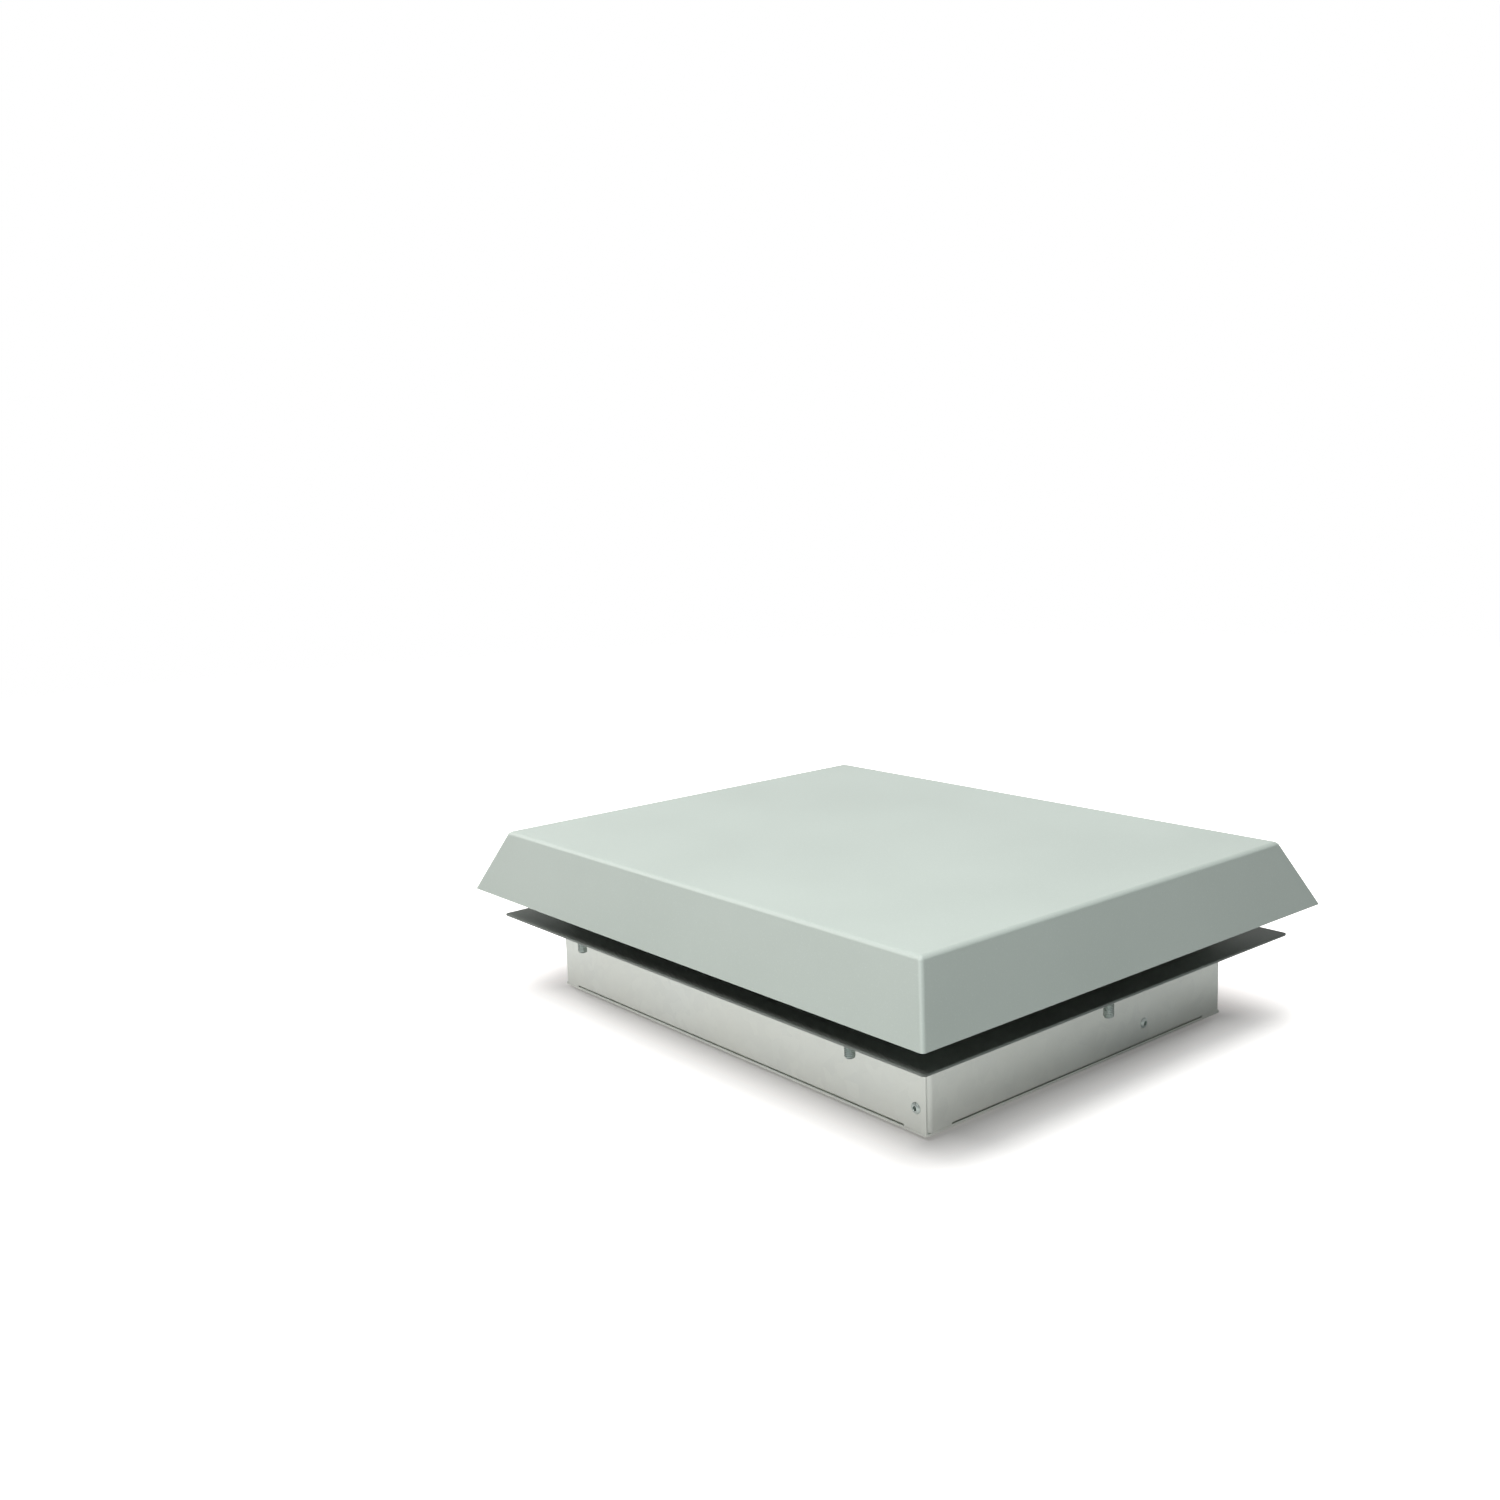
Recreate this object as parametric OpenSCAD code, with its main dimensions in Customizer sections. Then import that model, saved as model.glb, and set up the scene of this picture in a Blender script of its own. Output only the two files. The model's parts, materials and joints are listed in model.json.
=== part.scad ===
// Roof fan for an electrical enclosure. A box drops through a cut-out in the roof, a painted
// flange seals on the roof round it, and a sloping hood keeps rain out above the impeller.
// Z is up, X is the long side, and z = 0 is the plane that the lowest screw heads touch.

/* [Box] */
// Length of the box that drops through the roof cut-out
box_l = 338; // [320:1:350]
// Width of the box
box_w = 258; // [248:1:266]
// Height from the underside of the bottom plate to the underside of the flange
box_h = 48.5; // [46:0.5:60]
// Thickness of the galvanised wall sheet
wall_t = 1.2; // [1:0.1:1.6]
// Outer radius of the folds in the walls
wall_bend_r = 1.8; // [1.7:0.1:3]
// Width of the in-turned lip that carries the bottom plate
lip_w = 14; // [13:0.5:15]
// Width of the out-turned collar under the flange
collar_w = 5; // [3.5:0.5:6]
// Outer radius of the rounded corners of the box
corner_r = 4; // [3:0.5:5]
// Length of the tab at the end of a short wall, measured from the corner
corner_tab = 17; // [14:0.5:20]

/* [Corner rivets] */
// Height of the corner rivets above the underside of the plate
rivet_up = 14; // [12:0.5:22]
// Distance of the corner rivets from the end of the long wall
rivet_in = 7; // [6:0.5:9]
// Radius of a rivet's head
rivet_head_r = 3.2; // [2.6:0.1:3.6]
// Height of a rivet's domed head
rivet_head_h = 1.1; // [0.8:0.1:1.4]
// Radius of a rivet's shank
rivet_r = 1.6; // [1.2:0.1:1.8]

/* [Bottom plate] */
// Thickness of the bottom plate
plate_t = 1.5; // [1.2:0.1:2]
// Corner radius of the bottom plate
plate_corner_r = 2; // [1:0.5:4]
// Distance of the long-side plate screws from the edge
screw_in_y = 7.1; // [6.5:0.1:7.5]
// Distance of the short-side plate screws from the edge
screw_in_x = 6.8; // [6.5:0.1:7.4]
// Distance of the outer long-side plate screws from the middle
screw_x = 106.9; // [95:0.5:115]
// Distance of the short-side plate screws from the middle
screw_y = 66.4; // [58:0.5:75]
// Radius of a plate screw's thread
screw_r = 2; // [1.8:0.1:2.2]
// Radius of a plate screw's head
screw_head_r = 4; // [3.7:0.1:4.2]
// Height of a plate screw's head
screw_head_h = 2.4; // [2.2:0.1:3]

/* [Grille] */
// Distance of the grille from the long edges of the plate
grille_in = 30.4; // [29.5:0.1:33]
// Radius of the hole in the middle of the grille
grille_hub_r = 3.1; // [2.6:0.1:3.4]
// Outer radius of the first ring of slots
grille_first_r = 13.1; // [12.9:0.1:13.6]
// Width of the metal between one ring of slots and the next
grille_rib_w = 3.2; // [2.8:0.1:3.6]
// Width of a spoke
grille_spoke_w = 2.8; // [2.4:0.1:3.2]
// Number of slot rings
grille_rings = 10; // [8:1:10]
// Number of inner rings with four slots
grille_inner_rings = 6; // [4:1:7]

/* [Connector] */
// Length of the small plate that carries the connector
inlet_plate_l = 32.3; // [31:0.1:34]
// Width of the small plate that carries the connector
inlet_plate_w = 50.6; // [48:0.1:53]
// Gap between the small plate and the bottom plate
seam = 0.4; // [0.3:0.1:0.6]
// Distance of the connector's middle from the edge of the plate
inlet_in = 17.4; // [17:0.1:18]
// Width of the connector's rim
inlet_rim_w = 16.9; // [16:0.1:17.5]
// Length of the connector's rim
inlet_rim_l = 35.7; // [34.5:0.1:37]
// Thickness of the connector's rim
inlet_rim_t = 1.2; // [1:0.1:1.5]
// Width of the rim that rests on the small plate
inlet_rim_edge = 1.3; // [1:0.1:1.6]
// Height of the connector's body above the small plate
inlet_body_h = 22; // [18:0.5:26]
// Distance between the poles of the connector
pole_pitch = 10; // [9.4:0.1:10.4]
// Radius of a pole's socket
pole_r = 3.75; // [3.6:0.05:3.9]
// Radius of a contact pin
contact_r = 1.2; // [1:0.1:1.5]

/* [Labels] */
// Distance of the label plates' middle from the short edge of the plate
label_in = 44.5; // [43.5:0.5:46]
// Length of the upper label plate along Y
label_a_l = 46.2; // [40:0.5:48]
// Length of the lower label plate along Y
label_b_l = 45.4; // [40:0.5:48]
// Width of both label plates
label_w = 21; // [18:0.5:22]
// Thickness of a label plate
label_t = 0.3; // [0.2:0.05:0.5]

/* [Flange] */
// How far the flange reaches past the short sides of the box
flange_out_x = 27; // [24:0.5:30]
// How far the flange reaches past the long sides of the box
flange_out_y = 28; // [25:0.5:31]
// Thickness of the flange sheet
flange_t = 1.5; // [1.2:0.1:2]
// Corner radius of the flange
flange_corner_r = 2; // [1:0.5:6]
// How far the square opening for the impeller reaches past the stand-offs
flange_open_out = 19.4; // [15:0.2:22]
// Corner radius of that opening
flange_open_r = 8; // [4:1:14]
// Thickness of the gasket under the flange
gasket_t = 1.5; // [1:0.5:3]

/* [Mounting studs] */
// Distance of the long-side studs from the middle along X
stud_x = 126.5; // [110:0.5:132]
// Distance of the long-side studs from the edge of the flange
stud_in_y = 16; // [13:0.5:17]
// Distance of the short-side studs from the edge of the flange
stud_in_x = 12.3; // [10:0.1:14]
// Radius of a stud's thread
stud_r = 3; // [2.5:0.1:3.2]
// Length of a stud below the flange
stud_l = 14.1; // [10:0.5:20]

/* [Hood] */
// Height of the air gap between the flange and the hood's rim
outlet_gap = 18; // [14:0.5:24]
// How far the hood's rim reaches past the short sides of the flange
hood_out_x = 13; // [9:0.5:19]
// How far the hood's rim reaches past the long sides of the flange
hood_out_y = 14; // [11:0.5:19]
// How far the hood's top edges lie inside its rim
hood_in = 18; // [14:0.5:20]
// Height of the hood
hood_h = 39; // [37:0.5:46]
// Thickness of the hood sheet
hood_t = 1.5; // [1.2:0.1:2]
// Outer radius of the fold round the hood's top
hood_bend_r = 3; // [2.4:0.1:4]

/* [Hood posts] */
// Distance of the posts from the short sides of the box
post_in_x = 21; // [19:1:29]
// Distance of the posts from the long sides of the box
post_in_y = 29; // [23:1:33]
// Radius of a post
post_r = 6; // [5.5:0.1:6.5]
// Height of a post
post_h = 38; // [34:0.5:39]
// Radius of a hood pin
pin_r = 3; // [2.6:0.1:3.2]
// Clearance between a pin and its grommet
pin_play = 0.3; // [0.2:0.05:0.4]

/* [Outlet guard] */
// Distance of the guard's outer face from the edge of the box
guard_in = 4; // [3:0.5:6]
// Height of the guard
guard_h = 50; // [44:0.5:52]
// Thickness of the guard's sheet
guard_t = 1; // [0.8:0.1:1.2]
// Width of a slot in the guard
guard_slot_w = 5; // [4:0.1:5.5]
// Distance from one slot to the next
guard_pitch = 8; // [7.5:0.1:9]

/* [Inlet nozzle] */
// How far the nozzle's square plate reaches past the stand-offs
nozzle_out = 29.4; // [26.4:0.2:31.4]
// Thickness of the nozzle's sheet
nozzle_t = 1.2; // [1:0.1:1.5]
// Inner radius of the nozzle's throat
throat_r = 51; // [49:0.5:52]
// Radius of the nozzle's rounded mouth
mouth_r = 13; // [11:0.5:14]
// Length of the straight throat above the rounded mouth
throat_l = 3; // [2:0.5:4]

/* [Impeller] */
// Outer radius of the impeller
impeller_r = 74.5; // [72:0.5:78]
// Height of the impeller from its inlet lip to the top of its back plate
impeller_h = 28; // [27:0.5:30]
// Thickness of the impeller's sheet
impeller_t = 1.2; // [1:0.1:1.5]
// Running gap between the nozzle and the impeller's inlet lip
inlet_play = 1; // [0.8:0.1:1.5]
// Number of blades
blades = 7; // [6:1:9]
// Radius of the curve of a blade
blade_curve_r = 48; // [44:1:52]
// Gap between the balance ring and the blades
blade_in = 2; // [1:0.5:3]

/* [Motor] */
// Radius of the rotor can
can_r = 33; // [32:0.5:33.5]
// Depth of the rotor can below its flange
can_h = 28.3; // [28.2:0.1:29]
// Thickness of the rotor can
can_t = 1.5; // [1.2:0.1:1.6]
// How far the rotor can's flange reaches past the can
can_flange_out = 7.5; // [6.5:0.5:8]
// Air gap between the rotor cage and the stator core
air_gap = 0.4; // [0.35:0.05:0.5]
// Radial thickness of the rotor cage
cage_t = 2.1; // [1.9:0.1:2.4]
// Height of the stack of stator sheets
stack_h = 13.5; // [12:0.5:14]
// Number of stator teeth
teeth = 8; // [6:1:8]
// Radius of the motor shaft
shaft_r = 4; // [3.8:0.1:4.1]
// Outer radius of a bearing
bearing_r = 11; // [10.9:0.1:11.2]
// Width of a bearing
bearing_w = 7; // [6.6:0.1:7.2]
// Radius of a bearing ball
ball_r = 1.9; // [1.7:0.05:2]
// Number of balls in a bearing
balls = 7; // [6:1:7]

/* [Stand-offs and bracket] */
// Distance of the stand-offs from the edge of the grille
standoff_out = 8.3; // [7:0.1:10]
// Radius of a stand-off
standoff_r = 4; // [3.8:0.1:4.5]
// Thickness of the motor bracket
bracket_t = 2; // [1.5:0.1:2.5]
// Width of an arm of the motor bracket
bracket_arm_w = 20; // [16:1:24]
// Gap between the impeller's back plate and the motor bracket
bracket_gap = 6; // [5.5:0.1:6.5]

/* [Capacitor] */
// Radius of the capacitor
cap_r = 12; // [11:0.5:12.5]
// Length of the capacitor
cap_l = 50; // [40:1:58]
// Distance of the capacitor's middle from the middle of the right wall
cap_y = 52.2; // [46:0.5:56]
// Height of the capacitor's middle above the underside of the plate
cap_up = 32; // [28:0.5:33]
// Height of the clip's rivet above the underside of the plate
clip_rivet_up = 13.4; // [12:0.2:15]
// Width of the capacitor's clip
clip_w = 12; // [10:0.5:14]

/* [Hidden] */

$fn = 64;
// Cuts run this far past the faces that they open
overrun = 1;
// Small step between a slot's side and its round end
slot_step = 0.15;
// Clearance of a screw or rivet in its hole
hole_play = 0.2;
// Clearance between neighbouring pieces that only lie beside each other
side_play = 0.4;

// Heights of the main planes
plate_z = screw_head_h;
plate_top_z = plate_z + plate_t;
flange_z = plate_z + box_h;
flange_top_z = flange_z + flange_t;
rim_z = flange_top_z + outlet_gap;
hood_top_z = rim_z + hood_h;
ceiling_z = hood_top_z - hood_t;
wall_h = flange_z - plate_top_z;

// Outlines that follow the box
flange_l = box_l + 2 * flange_out_x;
flange_w = box_w + 2 * flange_out_y;
hood_l = flange_l + 2 * hood_out_x;
hood_w = flange_w + 2 * hood_out_y;
grille_r = box_w / 2 - grille_in;
grille_pitch = (grille_r - grille_first_r) / (grille_rings - 1);
grille_slot_w = grille_pitch - grille_rib_w;
standoff_at = (grille_r + standoff_out) / sqrt(2);
flange_open = 2 * (standoff_at + flange_open_out);
nozzle_side = 2 * (standoff_at + nozzle_out);
stud_y = flange_w / 2 - stud_in_y;
stud_end_x = flange_l / 2 - stud_in_x;
post_x = box_l / 2 - post_in_x;
post_y = box_w / 2 - post_in_y;
corners = [[1, 1], [-1, 1], [-1, -1], [1, -1]];
stud_places = [for (c = corners) [c[0] * stud_x, c[1] * stud_y], [stud_end_x, 0], [-stud_end_x, 0]];

// Walls: where the straight part of a short one ends at its tab, and where the lips of both end
short_end_y = box_w / 2 - wall_t - corner_r;
// How far the tall plain corners run on into the walls' lipped parts
corner_stub = 1;
long_lip_end = box_l / 2 - lip_w - 2 * side_play;
short_lip_end = box_w / 2 - wall_t - corner_tab;

// Places of the nine plain plate screws, then of the earth screw
plate_screw_places = [
    for (sx = [-1, 0, 1], sy = [-1, 1]) [sx * screw_x, sy * (box_w / 2 - screw_in_y)],
    for (sy = [-1, 1]) [-(box_l / 2 - screw_in_x), sy * screw_y],
    [box_l / 2 - screw_in_x, screw_y]];
earth_place = [box_l / 2 - screw_in_x, -screw_y];
all_plate_places = concat(plate_screw_places, [earth_place]);
// Slots of an inner and of an outer ring of the grille, and how far the inner rings are turned
inner_ring_slots = 4;
outer_ring_slots = 8;
inner_ring_turn = 45;

// Hood: the slant of its sides, and its sheet seen level
hood_slant = sqrt(hood_h * hood_h + hood_in * hood_in);
hood_side_t = hood_t * hood_slant / hood_h;
hood_inner_in = hood_in * (hood_h - hood_t) / hood_h;
// Number of straight steps in the fold round the hood's top
fold_steps = 8;

// Nozzle and impeller
nozzle_z = flange_z - nozzle_t;
throat_z = nozzle_z + mouth_r;
nozzle_top_z = throat_z + throat_l;
eye_overlap = throat_l;
eye_z = nozzle_top_z - eye_overlap;
eye_r = throat_r + nozzle_t + inlet_play;
back_z = eye_z + impeller_h;
back_under_z = back_z - impeller_t;
eye_bend_r = 6;
eye_lip_l = 2;
shroud_rise = 1.8;
shroud_z = eye_z + eye_lip_l + eye_bend_r;
weld_gap = 0.05;
blade_inset = 6;
can_flange_r = can_r + can_flange_out;
ring_in_gap = 2.5;
ring_w = 4;
ring_t = 1.4;
ring_in_r = can_flange_r + ring_in_gap;
ring_out_r = ring_in_r + ring_w;
blade_start_r = ring_out_r + blade_in;
can_rivets = 8;
can_rivet_r = 1.2;
can_rivet_head_r = 2;
can_rivet_head_h = 0.8;

// Motor
can_flange_z = back_under_z - can_t;
can_z = can_flange_z - can_h;
can_inner_r = can_r - can_t;
can_boss_r = 8;
can_edge_r = 4;
can_rivet_at = (can_r + can_flange_r) / 2;
can_boss_h = 3.5;
cage_inner_r = can_inner_r - cage_t;
core_r = cage_inner_r - air_gap;
bracket_z = back_z + bracket_gap;
stator_flange_t = 3;
stator_flange_r = 27;
stator_flange_z = bracket_z - stator_flange_t;
tube_wall = 2;
tube_r = bearing_r + tube_wall;
bearing_seat = 1;
tube_bore_r = bearing_r - bearing_seat;
tube_z = can_z + can_t + can_boss_h + side_play * 2;
upper_bearing_z = stator_flange_z - bearing_w;
core_mid_z = (tube_z + stator_flange_z) / 2;
core_z = core_mid_z - stack_h / 2;
coil_over = 3;
tooth_w = 5;
yoke_t = 3;
shoe_t = 2.4;
slot_mouth = 2.6;
coil_w = 8.6;
coil_play = 0.15;
ball_ring_r = (shaft_r + bearing_r) / 2;
ball_play = 0.05;
race_gap = 1.2;
shaft_over = 2.5;
shaft_top_z = stator_flange_z + shaft_over;
circlip_t = 1;
circlip_r = 6.2;
stator_screw_r = 1.5;
stator_screw_at = 21;
stator_screw_head_r = 2.8;
stator_screw_head_h = 1.8;

// Screws, nuts and stand-offs
nut_r = 3.6;
nut_h = 2.4;
screw_past = 1.2;
screw_l = plate_t + wall_t + nut_h + screw_past;
recess_w = 1;
recess_d = 1.3;
// Shares of a screw head: its rounded edge, and the cross cut in it
head_edge_share = 0.45;
head_side_share = 0.3;
recess_share = 1.15;
// Shares of a rivet: the flat, the side and the drop of its dome, and its tail
dome_flat_share = 0.35;
dome_side_share = 0.8;
dome_drop_share = 0.6;
rivet_tail_share = 1.4;
washer_r = 5.4;
washer_t = 0.6;
earth_head_h = screw_head_h - washer_t;
lower_standoff_h = nozzle_z - plate_top_z;
upper_standoff_h = bracket_z - flange_z;
standoff_thread_r = 2;
standoff_hole_r = standoff_thread_r + hole_play;
standoff_thread_l = 8;
bracket_nut_h = 3.2;
thread_past = 1;
bracket_thread_l = bracket_t + bracket_nut_h + thread_past;
bracket_hub_r = 30;
post_screw_r = 2.5;
post_screw_head_r = 4.6;
post_screw_head_h = 2.2;
post_screw_l = 12;
grommet_r = 8;
grommet_t = 2.4;
grommet_neck_h = 3;
grommet_seat_play = 1;
grommet_seat_h = grommet_neck_h + grommet_seat_play;
pin_collar_r = 7.5;
pin_end_r = 2;
pin_tip_h = 2;
rest_gap = 0.3;
strip_w = 22;
strip_t = 1.5;
strip_over = 16;
stud_base_r = 4;
stud_base_h = 0.8;
stud_tip_h = 0.8;
gasket_in = 3;
gasket_corner_r = 3;
guard_foot = 9;
guard_slot_margin = 6;
guard_screw_r = 1.5;
guard_screw_head_r = 2.8;
guard_screw_head_h = 1.6;
guard_screw_l = 6;
guard_screw_share = 0.7;
guard_foot_mid = guard_t + guard_foot / 2;

// Connector
inlet_x = inlet_in - box_l / 2;
inlet_body_w = inlet_rim_w - 2 * inlet_rim_edge;
inlet_body_l = inlet_rim_l - 2 * inlet_rim_edge;
inlet_face_z = plate_z - inlet_rim_t;
inlet_pocket_w = 12;
inlet_pocket_l = 29;
inlet_pocket_d = 1;
inlet_corner_r = 1;
socket_l = 15;
contact_sunk = 4.2;
contact_z = inlet_face_z + contact_sunk;
contact_tail = 5;
lip_notch_play = 3;
lip_notch_w = inlet_rim_l + 2 * lip_notch_play;
prong_w = 3.2;
prong_l = 3.2;
prong_t = 1;
prong_at = 5.5;
label_x = label_in - box_l / 2;
label_split_y = -4.1;
label_gap = 0.6;
label_corner_r = 2;

// Capacitor and its clip
clip_t = 1;
cap_x = box_l / 2 - wall_t - clip_t - cap_r;
cap_z = plate_z + cap_up;
clip_rivet_z = plate_z + clip_rivet_up;
clip_tab_end = 4.5;
cap_cap_h = 6;
cap_tag_w = 6.3;
cap_tag_t = 0.8;
cap_tag_l = 8;
cap_tag_at = 4.5;

// Guard
guard_x = box_l / 2 - guard_in;
guard_y = box_w / 2 - guard_in;
guard_screw_places = [
    for (c = corners) [c[0] * guard_x * guard_screw_share, c[1] * (guard_y - guard_foot_mid)],
    for (c = corners) [c[0] * (guard_x - guard_foot_mid), c[1] * guard_y * guard_screw_share / 2]];

// A flat ring
module ring(r_out, r_in) {
    difference() {
        circle(r = r_out);
        circle(r = r_in);
    }
}

// A rectangle with round corners, centred
module rounded(l, w, r) {
    square([l - 2 * r, w], center = true);
    square([l, w - 2 * r], center = true);
    for (sx = [-1, 1], sy = [-1, 1])
        translate([sx * (l / 2 - r), sy * (w / 2 - r)]) circle(r = r);
}

// A quarter of a fold, in the first quadrant
module fold(r, t) {
    intersection() {
        ring(r, r - t);
        square(r);
    }
}

// A washer-like cylinder standing on z = 0
module tube(r_out, r_in, h) {
    linear_extrude(h) ring(r_out, r_in);
}

// A hexagonal nut standing on z = 0; r is half its width across the flats
module hex_nut(r, bore_r, h) {
    difference() {
        rotate(30) cylinder(r = r / cos(30), h = h, $fn = 6);
        translate([0, 0, -overrun]) cylinder(r = bore_r, h = h + 2 * overrun);
    }
}

// A pan-head screw that hangs from z = 0, with its shank going up and its head below
module pan_screw(head_r, head_h, shank_r, shank_l) {
    edge = head_h * head_edge_share;
    difference() {
        union() {
            rotate_extrude() polygon([
                [0, 0], [head_r, 0], [head_r, -head_h + edge],
                [head_r - edge * head_side_share, -head_h + edge * head_side_share],
                [head_r - edge, -head_h], [0, -head_h]]);
            cylinder(r = shank_r, h = shank_l);
        }
        for (a = [0, 90]) rotate(a)
            translate([-head_r * recess_share / 2, -recess_w / 2, -head_h - overrun])
                cube([head_r * recess_share, recess_w, recess_d + overrun]);
    }
}

// A blind rivet along +Z: its domed head is below z = 0 and its tail is above grip
module blind_rivet(grip) {
    tail_r = rivet_r * rivet_tail_share;
    rotate_extrude() polygon([
        [0, -rivet_head_h], [rivet_head_r * dome_flat_share, -rivet_head_h],
        [rivet_head_r * dome_side_share, -rivet_head_h * dome_drop_share], [rivet_head_r, 0],
        [rivet_r, 0], [rivet_r, grip], [tail_r, grip], [tail_r, grip + rivet_r], [0, grip + rivet_r]]);
}

// One slot of the grille between two angles, with round ends
module arc_slot(r_out, w, a0, a1) {
    r_mid = r_out - w / 2;
    reach = 2 * r_out;
    half = (a0 + a1) / 2;
    intersection() {
        ring(r_out, r_out - w);
        polygon([[0, 0], reach * [cos(a0), sin(a0)], reach * [cos(half), sin(half)],
                 reach * [cos(a1), sin(a1)]]);
    }
    for (a = [a0, a1]) rotate(a) translate([r_mid, 0]) circle(r = w / 2 - slot_step);
}

// All the slots of the grille: inner rings have four slots, outer rings eight
module grille_slots() {
    for (i = [0 : grille_rings - 1]) {
        slots = i < grille_inner_rings ? inner_ring_slots : outer_ring_slots;
        start = i < grille_inner_rings ? inner_ring_turn : 0;
        r_out = grille_first_r + i * grille_pitch;
        r_mid = r_out - grille_slot_w / 2;
        cut = asin((grille_spoke_w + grille_slot_w) / 2 / r_mid);
        for (k = [0 : slots - 1])
            arc_slot(r_out, grille_slot_w, start + k * 360 / slots + cut,
                     start + (k + 1) * 360 / slots - cut);
    }
    circle(r = grille_hub_r);
}

// Bottom plate, seen from below as a flat sheet with the grille in its middle
module bottom_plate() {
    color("silver")
    translate([0, 0, plate_z])
    linear_extrude(plate_t) difference() {
        rounded(box_l, box_w, plate_corner_r);
        grille_slots();
        translate([-box_l / 2 - overrun, -inlet_plate_w / 2 - seam])
            square([inlet_plate_l + seam + overrun, inlet_plate_w + 2 * seam]);
        for (p = all_plate_places) translate(p) circle(r = screw_r + hole_play);
        for (c = corners) translate(c * standoff_at) circle(r = standoff_hole_r);
    }
}

module connector_plate() {
    color("silver")
    translate([0, 0, plate_z])
    linear_extrude(plate_t) difference() {
        translate([-box_l / 2, -inlet_plate_w / 2]) square([inlet_plate_l, inlet_plate_w]);
        translate([inlet_x, 0])
            rounded(inlet_body_w + seam, inlet_body_l + seam, inlet_corner_r);
    }
}

// Connector housing: a rim under the plate, a body above it and three sockets
module connector_housing() {
    color("dimgray")
    translate([inlet_x, 0, 0]) difference() {
        union() {
            translate([0, 0, inlet_face_z])
                linear_extrude(inlet_rim_t) rounded(inlet_rim_w, inlet_rim_l, inlet_corner_r);
            translate([0, 0, plate_z])
                linear_extrude(inlet_body_h) rounded(inlet_body_w, inlet_body_l, inlet_corner_r);
        }
        translate([0, 0, inlet_face_z - overrun])
            linear_extrude(inlet_pocket_d + overrun)
                rounded(inlet_pocket_w, inlet_pocket_l, inlet_corner_r);
        for (k = [-1 : 1]) translate([0, k * pole_pitch, inlet_face_z - overrun]) {
            cylinder(r = pole_r, h = socket_l + overrun);
            cylinder(r = contact_r, h = inlet_body_h + inlet_rim_t + 2 * overrun);
        }
    }
}

module connector_contacts() {
    color("goldenrod")
    for (k = [-1 : 1]) translate([inlet_x, k * pole_pitch, contact_z])
        cylinder(r = contact_r, h = plate_z + inlet_body_h + contact_tail - contact_z);
}

// Four spring prongs that hold the connector to the small plate
module connector_clips() {
    color("gray")
    for (sx = [-1, 1], sy = [-1, 1])
        translate([inlet_x + sx * prong_at - prong_w / 2,
                   sy > 0 ? inlet_rim_l / 2 : -inlet_rim_l / 2 - prong_l, plate_z - prong_t])
            cube([prong_w, prong_l, prong_t]);
}

module upper_label() {
    color("tan")
    translate([label_x, label_split_y - label_gap / 2 - label_a_l / 2, plate_z - label_t])
        linear_extrude(label_t) rounded(label_w, label_a_l, label_corner_r);
}

module lower_label() {
    color("darkkhaki")
    translate([label_x, label_split_y + label_gap / 2 + label_b_l / 2, plate_z - label_t])
        linear_extrude(label_t) rounded(label_w, label_b_l, label_corner_r);
}

module plate_screws() {
    color("gainsboro")
    for (p = plate_screw_places) translate([p[0], p[1], plate_z])
        pan_screw(screw_head_r, screw_head_h, screw_r, screw_l);
}

// Clinch nuts on the lips, behind the plain plate screws
module plate_nuts() {
    color("lightgray")
    for (p = plate_screw_places) translate([p[0], p[1], plate_top_z + wall_t])
        tube(nut_r, screw_r, nut_h);
}

module fan_screws() {
    color("gainsboro")
    for (c = corners) translate([c[0] * standoff_at, c[1] * standoff_at, plate_z])
        pan_screw(screw_head_r, screw_head_h, standoff_thread_r, plate_t + standoff_thread_l);
}

module earth_screw() {
    color("gainsboro")
    translate([earth_place[0], earth_place[1], plate_z - washer_t])
        pan_screw(screw_head_r, earth_head_h, screw_r, screw_l + washer_t);
}

// Toothed washer under the earth screw's head
module earth_washer() {
    color("silver")
    translate([earth_place[0], earth_place[1], plate_z - washer_t]) linear_extrude(washer_t)
        difference() {
            union() for (a = [0, 30, 60]) rotate(a) square(washer_r * sqrt(2), center = true);
            circle(r = screw_r + hole_play);
        }
}

module earth_nut() {
    color("lightgray")
    translate([earth_place[0], earth_place[1], plate_top_z + wall_t]) hex_nut(nut_r, screw_r, nut_h);
}

// Section of a folded wall: x runs inwards from the outer face, y runs up from the lip
module wall_section() {
    translate([wall_bend_r, 0]) square([lip_w - wall_bend_r, wall_t]);
    translate([wall_bend_r, wall_bend_r]) rotate(180) fold(wall_bend_r, wall_t);
    translate([0, wall_bend_r]) square([wall_t, wall_h - 2 * wall_bend_r]);
    translate([wall_t - wall_bend_r, wall_h - wall_bend_r]) fold(wall_bend_r, wall_t);
    translate([-collar_w, wall_h - wall_t]) square([collar_w + wall_t - wall_bend_r, wall_t]);
}

// Outline of a round corner with a straight end before and after the bend
module corner_outline(before, after) {
    fold(corner_r, wall_t);
    translate([corner_r - wall_t, -before]) square([wall_t, before]);
    translate([-after, corner_r - wall_t]) square([after, wall_t]);
}

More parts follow.
